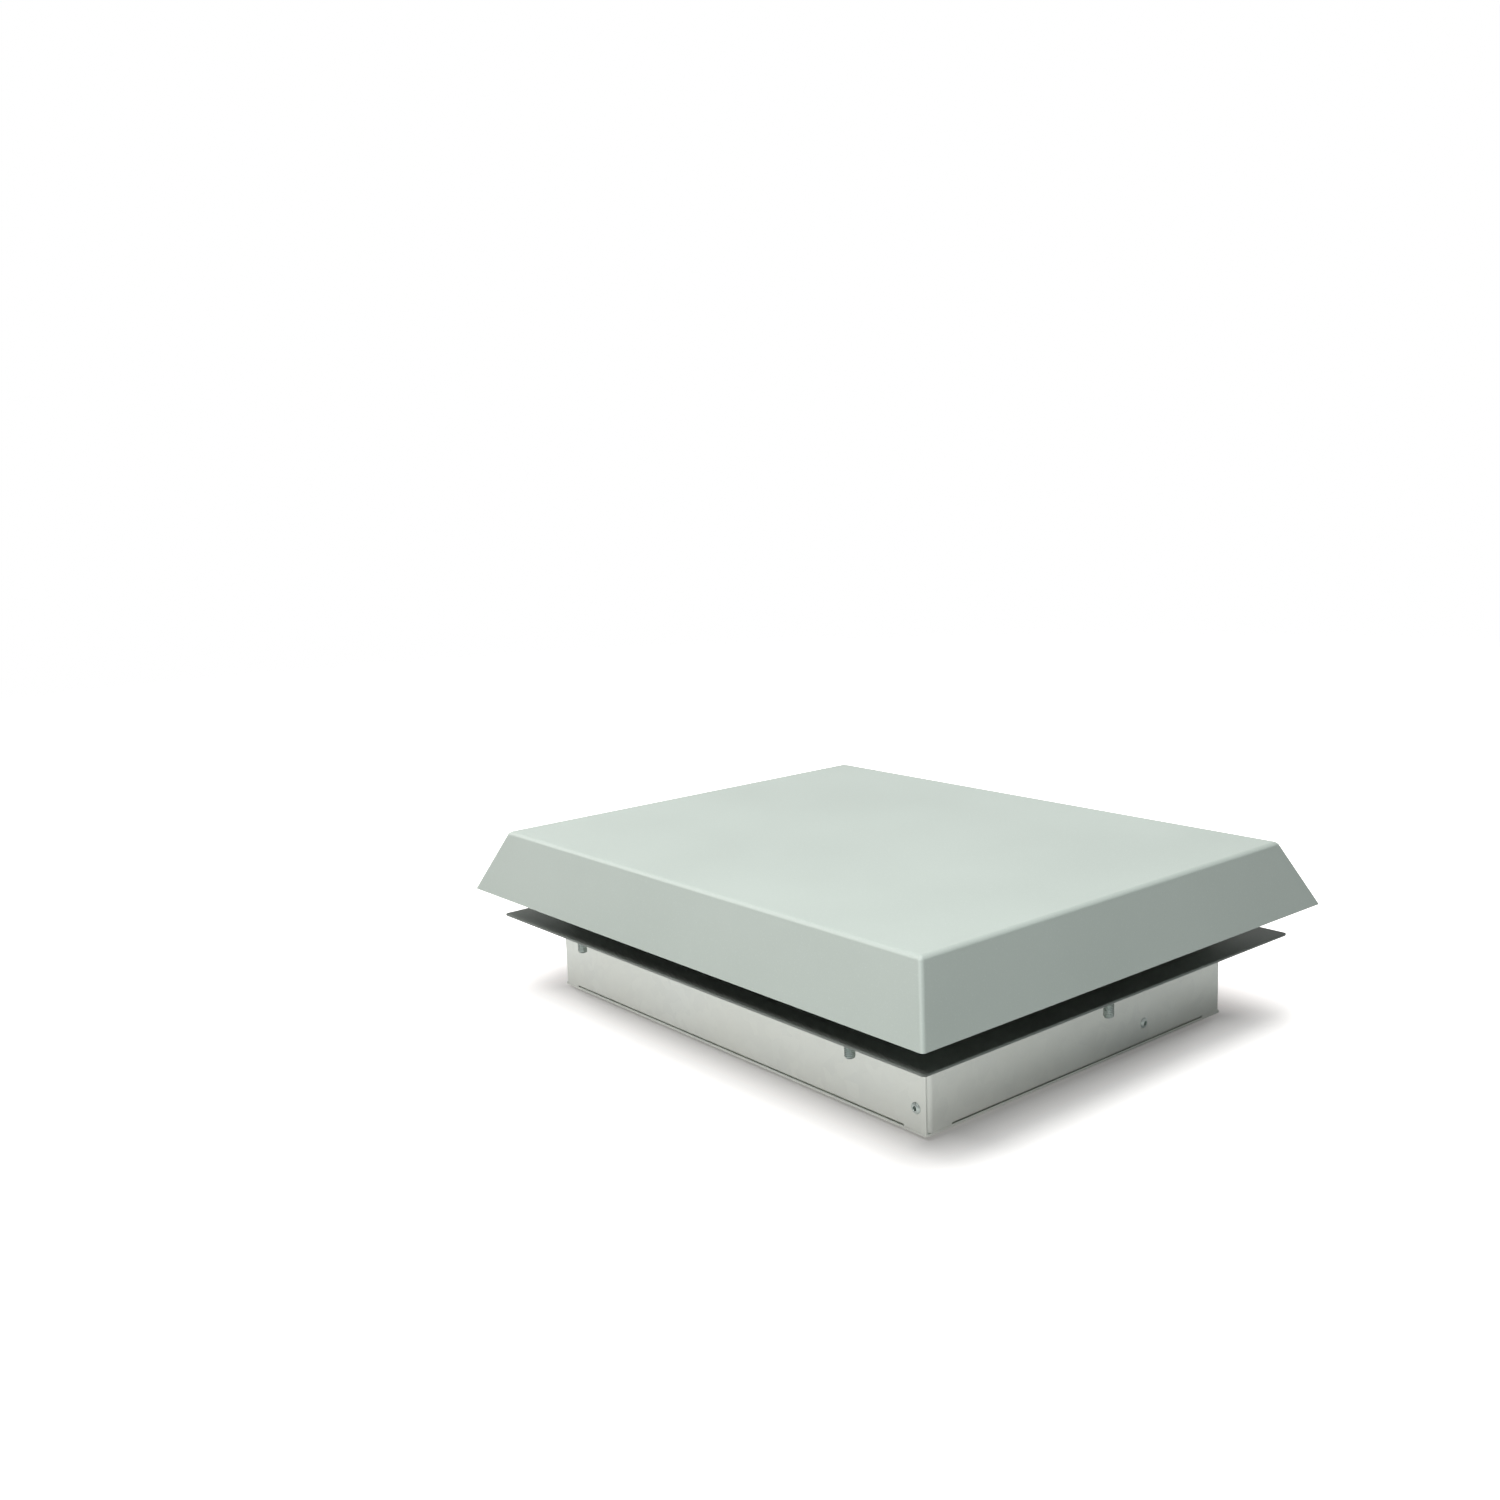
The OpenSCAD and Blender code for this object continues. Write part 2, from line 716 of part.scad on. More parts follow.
// Half of the box side, bent from one strip: a long wall in front that ends plain on the right,
// and a short wall on the left, whose tab lies behind the plain end of the other half.
// Lips and collars stop short of the corners, where the strip is plain for its whole height.
module wall_half(notch_w) {
    corner_run_x = box_l / 2 - corner_r - long_lip_end + corner_stub;
    corner_run_y = box_w / 2 - corner_r - short_lip_end + corner_stub;
    tab_run_y = short_end_y - short_lip_end + corner_stub;
    difference() {
        union() {
            translate([-long_lip_end, -box_w / 2, plate_top_z])
                rotate([90, 0, 90]) linear_extrude(2 * long_lip_end) wall_section();
            translate([-box_l / 2, short_lip_end, plate_top_z])
                rotate([90, 0, 0]) linear_extrude(2 * short_lip_end) wall_section();
            translate([long_lip_end - corner_stub, -box_w / 2, plate_top_z])
                cube([box_l / 2 - long_lip_end + corner_stub, wall_t, wall_h]);
            translate([-box_l / 2 + corner_r, -box_w / 2 + corner_r, plate_top_z])
                rotate(180) linear_extrude(wall_h) corner_outline(corner_run_y, corner_run_x);
            translate([-box_l / 2 + corner_r, short_end_y, plate_top_z]) rotate(90) {
                linear_extrude(wall_h) corner_outline(corner_stub, tab_run_y);
                translate([0, 0, wall_bend_r]) linear_extrude(wall_h - 2 * wall_bend_r)
                    corner_outline(corner_tab - corner_r, tab_run_y);
            }
        }
        if (notch_w > 0)
            translate([-box_l / 2 + wall_t, -notch_w / 2, plate_top_z - overrun])
                cube([lip_w, notch_w, wall_bend_r + overrun]);
        for (a = [0, 180]) rotate(a)
            translate([box_l / 2 - rivet_in, -box_w / 2 - overrun, plate_z + rivet_up])
                rotate([-90, 0, 0]) cylinder(r = rivet_r, h = 2 * wall_t + 2 * overrun);
        for (p = all_plate_places) translate([p[0], p[1], plate_top_z - overrun])
            cylinder(r = screw_r + hole_play, h = wall_t + 2 * overrun);
    }
}

module front_left_wall() {
    color("lightsteelblue")
    wall_half(lip_notch_w);
}

module back_right_wall() {
    color("lightsteelblue")
    difference() {
        rotate(180) wall_half(0);
        translate([box_l / 2 + overrun, cap_y, clip_rivet_z])
            rotate([0, -90, 0]) cylinder(r = rivet_r, h = wall_t + 2 * overrun);
    }
}

module corner_rivets() {
    color("gray")
    for (a = [0, 180]) rotate(a)
        translate([box_l / 2 - rivet_in, -box_w / 2, plate_z + rivet_up])
            rotate([-90, 0, 0]) blind_rivet(2 * wall_t);
}

// Rivet that holds the capacitor's clip to the right wall
module clip_rivet() {
    color("gray")
    translate([box_l / 2, cap_y, clip_rivet_z]) rotate([0, -90, 0]) blind_rivet(wall_t + clip_t);
}

// Painted flange: a flat sheet with a square opening
module flange_plate() {
    color("lightgray")
    translate([0, 0, flange_z]) linear_extrude(flange_t) difference() {
        rounded(flange_l, flange_w, flange_corner_r);
        rounded(flange_open, flange_open, flange_open_r);
        for (c = corners) translate([c[0] * post_x, c[1] * post_y])
            circle(r = post_screw_r + hole_play);
        for (p = guard_screw_places) translate(p) circle(r = guard_screw_r);
    }
}

// Soft gasket between the flange and the roof
module flange_gasket() {
    color("darkslategray")
    translate([0, 0, flange_z - gasket_t]) linear_extrude(gasket_t) difference() {
        rounded(flange_l - 2 * gasket_in, flange_w - 2 * gasket_in, gasket_corner_r);
        square([box_l + 2 * collar_w + 2 * side_play, box_w + 2 * collar_w + 2 * side_play],
               center = true);
        for (p = stud_places) translate(p) circle(r = stud_base_r + side_play);
    }
}

// Studs welded under the flange, which pass through the roof
module flange_studs() {
    color("silver")
    for (p = stud_places) translate([p[0], p[1], flange_z]) rotate_extrude() polygon([
        [0, 0], [stud_base_r, 0], [stud_base_r, -stud_base_h], [stud_r, -stud_base_h],
        [stud_r, -stud_l + stud_tip_h], [stud_r - stud_tip_h, -stud_l], [0, -stud_l]]);
}

// Section of the nozzle's rounded mouth and throat, r across and z up
module nozzle_section() {
    translate([throat_r + mouth_r, mouth_r]) rotate(180) fold(mouth_r, nozzle_t);
    translate([throat_r, mouth_r]) square([nozzle_t, throat_l]);
}

// Square nozzle plate under the flange, with its bell going up into the impeller
module inlet_nozzle() {
    color("lightgray")
    translate([0, 0, nozzle_z]) {
        rotate_extrude() nozzle_section();
        linear_extrude(nozzle_t) difference() {
            rounded(nozzle_side, nozzle_side, flange_open_r);
            circle(r = throat_r + mouth_r);
            for (c = corners) translate(c * standoff_at) circle(r = standoff_hole_r);
        }
    }
}

// Stand-offs from the bottom plate up to the nozzle plate
module lower_standoffs() {
    color("silver")
    for (c = corners) translate([c[0] * standoff_at, c[1] * standoff_at, plate_top_z])
        difference() {
            cylinder(r = standoff_r, h = lower_standoff_h);
            translate([0, 0, -overrun])
                cylinder(r = standoff_thread_r, h = standoff_thread_l + overrun + side_play);
            translate([0, 0, lower_standoff_h - standoff_thread_l - side_play])
                cylinder(r = standoff_thread_r, h = standoff_thread_l + overrun + side_play);
        }
}

// Stand-offs from the nozzle plate up to the motor bracket, with threaded ends
module upper_standoffs() {
    color("silver")
    for (c = corners) translate([c[0] * standoff_at, c[1] * standoff_at, 0]) {
        translate([0, 0, flange_z]) cylinder(r = standoff_r, h = upper_standoff_h);
        translate([0, 0, nozzle_z - standoff_thread_l])
            cylinder(r = standoff_thread_r, h = standoff_thread_l + nozzle_t);
        translate([0, 0, bracket_z]) cylinder(r = standoff_thread_r, h = bracket_thread_l);
    }
}

// Cross that carries the motor over the impeller
module motor_bracket() {
    color("gray")
    translate([0, 0, bracket_z]) linear_extrude(bracket_t) difference() {
        union() {
            circle(r = bracket_hub_r);
            for (a = [45, 135]) rotate(a) {
                square([2 * standoff_at * sqrt(2), bracket_arm_w], center = true);
                for (s = [-1, 1]) translate([s * standoff_at * sqrt(2), 0])
                    circle(r = bracket_arm_w / 2);
            }
        }
        for (c = corners) translate(c * standoff_at) circle(r = standoff_hole_r);
        for (a = [0 : 90 : 270]) rotate(a) translate([stator_screw_at, 0])
            circle(r = stator_screw_r + hole_play);
        circle(r = tube_bore_r);
    }
}

module bracket_nuts() {
    color("silver")
    for (c = corners) translate([c[0] * standoff_at, c[1] * standoff_at, bracket_z + bracket_t])
        hex_nut(nut_r, standoff_thread_r, bracket_nut_h);
}

// Stator flange under the bracket, with the bearing tube hanging from it
module stator_flange() {
    color("darkgray")
    difference() {
        union() {
            translate([0, 0, stator_flange_z]) cylinder(r = stator_flange_r, h = stator_flange_t);
            translate([0, 0, tube_z]) cylinder(r = tube_r, h = bracket_z - tube_z);
        }
        translate([0, 0, tube_z - overrun])
            cylinder(r = tube_bore_r, h = bracket_z - tube_z + 2 * overrun);
        translate([0, 0, tube_z - overrun]) cylinder(r = bearing_r, h = bearing_w + overrun);
        translate([0, 0, upper_bearing_z]) cylinder(r = bearing_r, h = bearing_w);
        for (a = [0 : 90 : 270]) rotate(a) translate([stator_screw_at, 0, stator_flange_z - overrun])
            cylinder(r = stator_screw_r, h = stator_flange_t + 2 * overrun);
    }
}

module stator_screws() {
    color("gainsboro")
    for (a = [0 : 90 : 270]) rotate(a) translate([stator_screw_at, 0, bracket_z + bracket_t])
        rotate([180, 0, 0])
            pan_screw(stator_screw_head_r, stator_screw_head_h, stator_screw_r,
                      bracket_t + stator_flange_t);
}

// Outline of the stator sheets: yoke round the bearing tube, teeth and their shoes
module core_outline() {
    difference() {
        union() {
            ring(tube_r + yoke_t, tube_r);
            for (k = [0 : teeth - 1]) rotate(k * 360 / teeth)
                translate([tube_r + yoke_t / 2, -tooth_w / 2])
                    square([core_r - tube_r - yoke_t / 2 - shoe_t / 2, tooth_w]);
            ring(core_r, core_r - shoe_t);
        }
        for (k = [0 : teeth - 1]) rotate((k + 0.5) * 360 / teeth)
            translate([core_r - shoe_t - overrun, -slot_mouth / 2])
                square([shoe_t + 2 * overrun, slot_mouth]);
    }
}

module stator_core() {
    color("slategray") translate([0, 0, core_z]) linear_extrude(stack_h) core_outline();
}

// One coil round each tooth
module stator_coils() {
    color("chocolate")
    for (k = [0 : teeth - 1]) rotate(k * 360 / teeth)
        translate([0, 0, core_z - coil_over]) difference() {
            intersection() {
                translate([tube_r + yoke_t + coil_play, -coil_w / 2, 0])
                    cube([core_r, coil_w, stack_h + 2 * coil_over]);
                cylinder(r = core_r - shoe_t - coil_play, h = stack_h + 2 * coil_over);
            }
            translate([tube_r, -tooth_w / 2 - coil_play, coil_over - coil_play])
                cube([core_r - tube_r, tooth_w + 2 * coil_play, stack_h + 2 * coil_play]);
        }
}

// Outer ring of a bearing, with a groove for its balls
module outer_ring() {
    rotate_extrude() difference() {
        translate([ball_ring_r + race_gap, 0])
            square([bearing_r - ball_ring_r - race_gap, bearing_w]);
        translate([ball_ring_r, bearing_w / 2]) circle(r = ball_r + ball_play);
    }
}

module inner_ring() {
    rotate_extrude() difference() {
        translate([shaft_r, 0]) square([ball_ring_r - race_gap - shaft_r, bearing_w]);
        translate([ball_ring_r, bearing_w / 2]) circle(r = ball_r + ball_play);
    }
}

module lower_bearing() {
    color("silver") translate([0, 0, tube_z]) outer_ring();
}

module upper_bearing() {
    color("silver") translate([0, 0, upper_bearing_z]) outer_ring();
}

module bearing_balls() {
    color("white")
    for (z = [tube_z, upper_bearing_z], k = [0 : balls - 1]) rotate(k * 360 / balls)
        translate([ball_ring_r, 0, z + bearing_w / 2]) sphere(r = ball_r);
}

// Run capacitor, lying along the right wall
module capacitor() {
    color("white")
    translate([cap_x, cap_y + cap_l / 2, cap_z]) rotate([90, 0, 0]) {
        cylinder(r = cap_r, h = cap_l);
        translate([0, 0, -cap_cap_h]) cylinder(r = cap_r - clip_t, h = cap_cap_h);
        for (s = [-1, 1]) translate([s * cap_tag_at, 0, -cap_cap_h - cap_tag_l / 2])
            cube([cap_tag_t, cap_tag_w, cap_tag_l], center = true);
    }
}

// Clip round the capacitor, with a flat tab down the wall
module capacitor_clip() {
    color("silver")
    translate([cap_x, cap_y + clip_w / 2, cap_z]) rotate([90, 0, 0]) difference() {
        linear_extrude(clip_w) {
            ring(cap_r + clip_t, cap_r);
            translate([cap_r, clip_rivet_z - clip_tab_end - cap_z])
                square([clip_t, cap_z - clip_rivet_z + clip_tab_end]);
        }
        translate([cap_r - overrun, clip_rivet_z - cap_z, clip_w / 2])
            rotate([0, 90, 0]) cylinder(r = rivet_r, h = clip_t + 2 * overrun);
    }
}

// Posts on the flange that carry the hood's pins
module hood_posts() {
    color("silver")
    for (c = corners) translate([c[0] * post_x, c[1] * post_y, flange_top_z]) difference() {
        cylinder(r = post_r, h = post_h);
        translate([0, 0, -overrun]) cylinder(r = post_screw_r, h = post_screw_l + overrun);
        translate([0, 0, post_screw_l + overrun])
            cylinder(r = pin_r + 2 * pin_play, h = post_h);
        translate([0, 0, post_h - grommet_seat_h])
            cylinder(r = pin_r + pin_play + wall_t, h = grommet_seat_h + overrun);
    }
}

module post_screws() {
    color("gainsboro")
    for (c = corners) translate([c[0] * post_x, c[1] * post_y, flange_z])
        pan_screw(post_screw_head_r, post_screw_head_h, post_screw_r,
                  flange_t + post_screw_l - side_play);
}

// Rubber grommets on the posts: the hood's pins go through them
module post_grommets() {
    color("dimgray")
    for (c = corners) translate([c[0] * post_x, c[1] * post_y, flange_top_z + post_h]) {
        difference() {
            union() {
                cylinder(r = grommet_r, h = grommet_t);
                translate([0, 0, -grommet_neck_h])
                    cylinder(r = pin_r + pin_play + wall_t, h = grommet_neck_h);
            }
            translate([0, 0, -grommet_neck_h - overrun])
                cylinder(r = pin_r + pin_play, h = grommet_neck_h + grommet_t + 2 * overrun);
        }
    }
}

// One side of the guard, standing at the plane y = 0 with its foot towards +Y
module guard_side(l) {
    room = l - 2 * guard_slot_margin;
    count = floor((room - guard_slot_w) / guard_pitch);
    difference() {
        union() {
            translate([-l / 2, 0, 0]) cube([l, guard_t, guard_h]);
            translate([-l / 2 + guard_foot + guard_slot_margin, 0, 0])
                cube([l - 2 * guard_foot - 2 * guard_slot_margin, guard_t + guard_foot, guard_t]);
        }
        for (i = [0 : count])
            translate([(i - count / 2) * guard_pitch - guard_slot_w / 2, -overrun, guard_slot_margin])
                cube([guard_slot_w, guard_t + 2 * overrun, guard_h - 2 * guard_slot_margin]);
    }
}

// Black slotted guard round the impeller, four folded sides
module outlet_guard() {
    color("black")
    translate([0, 0, flange_top_z]) difference() {
        union() {
            for (a = [0, 180]) rotate(a) translate([0, -guard_y, 0]) guard_side(2 * guard_x);
            for (a = [90, 270]) rotate(a) translate([0, -guard_x, 0])
                guard_side(2 * (guard_y - guard_t - side_play));
        }
        for (p = guard_screw_places) translate([p[0], p[1], -overrun])
            cylinder(r = guard_screw_r, h = guard_t + 2 * overrun);
    }
}

module guard_screws() {
    color("black")
    for (p = guard_screw_places) translate([p[0], p[1], flange_top_z + guard_t])
        rotate([180, 0, 0]) pan_screw(guard_screw_head_r, guard_screw_head_h, guard_screw_r,
                                      guard_screw_l);
}

module shaft() {
    color("silver")
    translate([0, 0, can_z]) difference() {
        cylinder(r = shaft_r, h = shaft_top_z - can_z);
        translate([0, 0, stator_flange_z + hole_play - can_z])
            tube(shaft_r + overrun, shaft_r - circlip_t / 2, circlip_t);
    }
}

// Spring ring in the shaft's groove, over the upper bearing
module shaft_circlip() {
    color("gray")
    translate([0, 0, stator_flange_z + hole_play]) linear_extrude(circlip_t) difference() {
        ring(circlip_r, shaft_r - circlip_t / 2);
        translate([0, -circlip_t]) square([circlip_r + overrun, 2 * circlip_t]);
    }
}

// Deep-drawn rotor can: closed below, with a flange under the impeller's back plate
module rotor_can() {
    color("cadetblue")
    difference() {
        union() {
            translate([0, 0, can_z]) rotate_extrude() {
                difference() {
                    union() {
                        square([can_r - can_edge_r, can_h + can_t]);
                        translate([0, can_edge_r]) square([can_r, can_h + can_t - can_edge_r]);
                        translate([can_r - can_edge_r, can_edge_r]) intersection() {
                            circle(r = can_edge_r);
                            translate([0, -can_edge_r]) square(can_edge_r);
                        }
                    }
                    translate([can_boss_r, can_t]) square([can_inner_r - can_boss_r, can_h + overrun]);
                    translate([0, can_t + can_boss_h]) square([can_inner_r, can_h + overrun]);
                }
                translate([0, can_h]) difference() {
                    square([can_flange_r, can_t]);
                    square([can_inner_r, can_t]);
                }
            }
        }
        translate([0, 0, can_z - overrun]) cylinder(r = shaft_r, h = can_h);
        for (k = [0 : can_rivets - 1]) rotate(k * 360 / can_rivets)
            translate([can_rivet_at, 0, can_flange_z - overrun])
                cylinder(r = can_rivet_r, h = can_t + 2 * overrun);
    }
}

// Squirrel cage pressed into the can
module rotor_cage() {
    color("silver")
    translate([0, 0, core_z - coil_over / 2])
        tube(can_inner_r, cage_inner_r, stack_h + coil_over);
}

module bearing_inner_rings() {
    color("silver")
    for (z = [tube_z, upper_bearing_z]) translate([0, 0, z]) inner_ring();
}

module impeller_back_plate() {
    color("dimgray")
    translate([0, 0, back_under_z]) linear_extrude(impeller_t) difference() {
        ring(impeller_r, can_inner_r);
        for (k = [0 : can_rivets - 1]) rotate(k * 360 / can_rivets)
            translate([can_rivet_at, 0]) circle(r = can_rivet_r);
    }
}

// Section of the shroud: an upright inlet lip, a fold and a rising rim
module shroud_section() {
    translate([eye_r, 0]) square([impeller_t, eye_lip_l]);
    translate([eye_r + eye_bend_r, eye_lip_l]) rotate(90) fold(eye_bend_r, impeller_t);
    polygon([
        [eye_r + eye_bend_r, eye_lip_l + eye_bend_r - impeller_t],
        [impeller_r, eye_lip_l + eye_bend_r - impeller_t + shroud_rise],
        [impeller_r, eye_lip_l + eye_bend_r + shroud_rise],
        [eye_r + eye_bend_r, eye_lip_l + eye_bend_r]]);
}

module impeller_shroud() {
    color("gray") translate([0, 0, eye_z]) rotate_extrude() shroud_section();
}

// Room between the shroud and the back plate, which bounds the blades
module blade_room() {
    top = back_under_z - weld_gap - eye_z;
    low = eye_lip_l + eye_bend_r + weld_gap;
    rotate_extrude() polygon([
        [blade_start_r, top], [impeller_r, top], [impeller_r, low + shroud_rise],
        [eye_r + eye_bend_r, low], [blade_start_r, (low + top) / 2]]);
}

// Backward-curved blades
module impeller_blades() {
    color("gray")
    translate([0, 0, eye_z]) intersection() {
        for (k = [0 : blades - 1]) rotate(k * 360 / blades)
            translate([0, -blade_curve_r, 0]) translate([blade_start_r - blade_inset, 0, 0])
                intersection() {
                    tube(blade_curve_r, blade_curve_r - impeller_t, impeller_h);
                    cube([blade_curve_r, blade_curve_r, impeller_h]);
                }
        blade_room();
    }
}

module impeller_rivets() {
    color("white")
    for (k = [0 : can_rivets - 1]) rotate(k * 360 / can_rivets)
        translate([can_rivet_at, 0, can_flange_z]) rotate_extrude() polygon([
            [0, -can_rivet_head_h], [can_rivet_head_r / 2, -can_rivet_head_h],
            [can_rivet_head_r, 0], [can_rivet_r, 0], [can_rivet_r, can_t + impeller_t],
            [can_rivet_head_r, can_t + impeller_t],
            [can_rivet_head_r / 2, can_t + impeller_t + can_rivet_head_h],
            [0, can_t + impeller_t + can_rivet_head_h]]);
}

module balance_ring() {
    color("wheat")
    translate([0, 0, back_under_z - ring_t]) tube(ring_out_r, ring_in_r, ring_t);
}

// Half section of the hood with a round fold at its top: b is half the rim, a half the top
function fold_x(b, a, h, r) = a - r * (norm([h, b - a]) - (b - a)) / h;
function hood_side(b, a, h, r) = concat(
    [[b, 0]],
    [for (i = [0 : fold_steps])
        let (lean = atan2(b - a, h), turn = lean + i * (90 - lean) / fold_steps)
            [fold_x(b, a, h, r), h - r] + r * [cos(turn), sin(turn)]]);
function left_side(side) = [for (i = [len(side) - 1 : -1 : 0]) [-side[i][0], side[i][1]]];

module hood_section(b, a, h, r) {
    side = hood_side(b, a, h, r);
    polygon(concat(side, left_side(side)));
}

// Solid hood with these half lengths at its rim, sloping in by s over its height
module hood_solid(half_l, half_w, s, h, r) {
    intersection() {
        translate([0, half_w, 0]) rotate([90, 0, 0]) linear_extrude(2 * half_w)
            hood_section(half_l, half_l - s, h, r);
        translate([-half_l, 0, 0]) rotate([90, 0, 90]) linear_extrude(2 * half_l)
            hood_section(half_w, half_w - s, h, r);
    }
}

// Folded sheet hood, open below
module hood() {
    color("whitesmoke")
    translate([0, 0, rim_z]) difference() {
        hood_solid(hood_l / 2, hood_w / 2, hood_in, hood_h, hood_bend_r);
        hood_solid(hood_l / 2 - hood_side_t, hood_w / 2 - hood_side_t, hood_inner_in,
                   hood_h - hood_t, hood_bend_r - hood_t);
    }
}

// Strips under the hood's ceiling that carry its pins
module hood_strips() {
    color("silver")
    for (s = [-1, 1])
        translate([s * post_x - strip_w / 2, -post_y - strip_over, ceiling_z - strip_t])
            cube([strip_w, 2 * (post_y + strip_over), strip_t]);
}

// Pins that drop through the grommets, with a collar that rests on each
module hood_pins() {
    collar_z = flange_top_z + post_h + grommet_t + rest_gap;
    strip_z = ceiling_z - strip_t;
    pin_z = flange_top_z + post_screw_l + 2 * overrun;
    color("silver")
    for (c = corners) translate([c[0] * post_x, c[1] * post_y, 0]) rotate_extrude() polygon([
        [0, pin_z], [pin_end_r, pin_z], [pin_r, pin_z + pin_tip_h], [pin_r, collar_z],
        [pin_collar_r, collar_z], [pin_collar_r, strip_z], [0, strip_z]]);
}

bottom_plate();
connector_plate();
connector_housing();
connector_contacts();
connector_clips();
upper_label();
lower_label();
plate_screws();
plate_nuts();
fan_screws();
earth_screw();
earth_washer();
earth_nut();
front_left_wall();
back_right_wall();
corner_rivets();
clip_rivet();
flange_plate();
flange_gasket();
flange_studs();
inlet_nozzle();
lower_standoffs();
upper_standoffs();
motor_bracket();
bracket_nuts();
stator_flange();
stator_screws();
stator_core();
stator_coils();
lower_bearing();
upper_bearing();
bearing_balls();
capacitor();
capacitor_clip();
hood_posts();
post_screws();
post_grommets();
outlet_guard();
guard_screws();
shaft();
shaft_circlip();
rotor_can();
rotor_cage();
bearing_inner_rings();
impeller_back_plate();
impeller_blades();
impeller_shroud();
impeller_rivets();
balance_ring();
hood();
hood_strips();
hood_pins();
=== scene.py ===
import bpy
import bmesh
import json
import math
from mathutils import Matrix, Vector


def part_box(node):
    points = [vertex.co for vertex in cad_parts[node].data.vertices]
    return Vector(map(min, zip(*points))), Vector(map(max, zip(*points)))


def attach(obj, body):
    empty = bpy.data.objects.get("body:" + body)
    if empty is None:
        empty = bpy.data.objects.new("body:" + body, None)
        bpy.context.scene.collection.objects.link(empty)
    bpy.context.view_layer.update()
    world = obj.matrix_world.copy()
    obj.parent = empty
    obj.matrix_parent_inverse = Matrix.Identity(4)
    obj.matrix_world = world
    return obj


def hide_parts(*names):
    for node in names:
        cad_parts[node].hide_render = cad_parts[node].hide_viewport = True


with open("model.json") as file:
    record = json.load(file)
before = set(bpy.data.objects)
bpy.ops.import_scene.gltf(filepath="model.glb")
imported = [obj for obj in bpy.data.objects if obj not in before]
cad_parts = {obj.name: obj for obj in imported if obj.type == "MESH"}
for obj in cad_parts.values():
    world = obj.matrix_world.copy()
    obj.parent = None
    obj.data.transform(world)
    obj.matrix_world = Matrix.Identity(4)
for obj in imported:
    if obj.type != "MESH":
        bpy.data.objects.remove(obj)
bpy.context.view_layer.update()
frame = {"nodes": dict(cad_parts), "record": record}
mm = 0.001


def newGroup(name, inputs, outputs):
    # every input is (label, kind, value), and every output is a number
    group = bpy.data.node_groups.new(name, "ShaderNodeTree")
    for label, kind, value in inputs:
        socket = group.interface.new_socket(name=label, in_out="INPUT", socket_type=kind)
        socket.default_value = value
    for label in outputs:
        group.interface.new_socket(name=label, in_out="OUTPUT", socket_type="NodeSocketFloat")
    entry = group.nodes.new("NodeGroupInput")
    leave = group.nodes.new("NodeGroupOutput")
    where = group.nodes.new("ShaderNodeTexCoord").outputs["Object"]
    return group, entry, leave, where


def addNode(tree, kind, **settings):
    node = tree.nodes.new(kind)
    for key, value in settings.items():
        if key.startswith("in_"):
            node.inputs[key[3:].replace("_", " ")].default_value = value
        else:
            setattr(node, key, value)
    return node


def feed(tree, socket, value):
    # a number, vector or colour is set on the socket, and another socket is linked to it
    if isinstance(value, (int, float, tuple)):
        socket.default_value = value
    else:
        tree.links.new(value, socket)


def addNoise(tree, vector, scale, detail, rough):
    noise = addNode(tree, "ShaderNodeTexNoise", in_Detail=detail, in_Roughness=rough)
    tree.links.new(vector, noise.inputs["Vector"])
    feed(tree, noise.inputs["Scale"], scale)
    return noise.outputs["Fac"]


def addMath(tree, operation, *values):
    node = addNode(tree, "ShaderNodeMath", operation=operation)
    for socket, value in zip(node.inputs, values):
        feed(tree, socket, value)
    return node.outputs[0]


def addVectorMath(tree, operation, *values):
    node = addNode(tree, "ShaderNodeVectorMath", operation=operation)
    for socket, value in zip(node.inputs, values):
        feed(tree, socket, value)
    return node.outputs["Value" if operation in ("LENGTH", "DOT_PRODUCT") else "Vector"]


def addRange(tree, value, low, high, toLow=0.0, toHigh=1.0):
    node = tree.nodes.new("ShaderNodeMapRange")
    tree.links.new(value, node.inputs["Value"])
    for label, v in (("From Min", low), ("From Max", high), ("To Min", toLow), ("To Max", toHigh)):
        node.inputs[label].default_value = v
    return node.outputs["Result"]


paintGrainLook = {"grainScale": 900.0, "grainDetail": 3.0, "grainRough": 0.6, "mottleScale": 9.0,
                  "mottleDetail": 4.0, "mottleRough": 0.55, "mottleRange": (0.35, 0.65),
                  "speckRange": (0.56, 0.74)}


def makePaintGrain(s):
    # orange peel of a powder coat, with a slow mottle over it
    group, entry, leave, where = newGroup("paintGrain",
                                          [("Grain Scale", "NodeSocketFloat", s["grainScale"]),
                                           ("Mottle Scale", "NodeSocketFloat", s["mottleScale"])],
                                          ("Height", "Mottle", "Speck"))
    fine = addNoise(group, where, entry.outputs["Grain Scale"], s["grainDetail"], s["grainRough"])
    slow = addNoise(group, where, entry.outputs["Mottle Scale"], s["mottleDetail"], s["mottleRough"])
    group.links.new(fine, leave.inputs["Height"])
    group.links.new(addRange(group, slow, *s["mottleRange"]), leave.inputs["Mottle"])
    group.links.new(addRange(group, fine, *s["speckRange"]), leave.inputs["Speck"])
    return group


spangleLook = {"cellScale": 150.0, "cellShare": 0.65, "bendScale": 90.0, "bendDetail": 3.0,
               "bendReach": 0.009, "featherScale": 620.0, "featherDetail": 3.0, "featherRough": 0.6,
               "featherShare": 0.35, "cloudScale": 14.0, "cloudDetail": 5.0, "cloudRough": 0.6,
               "cloudRange": (0.32, 0.68), "ridge": 0.4, "filmShare": 0.6, "depth": 0.00003}


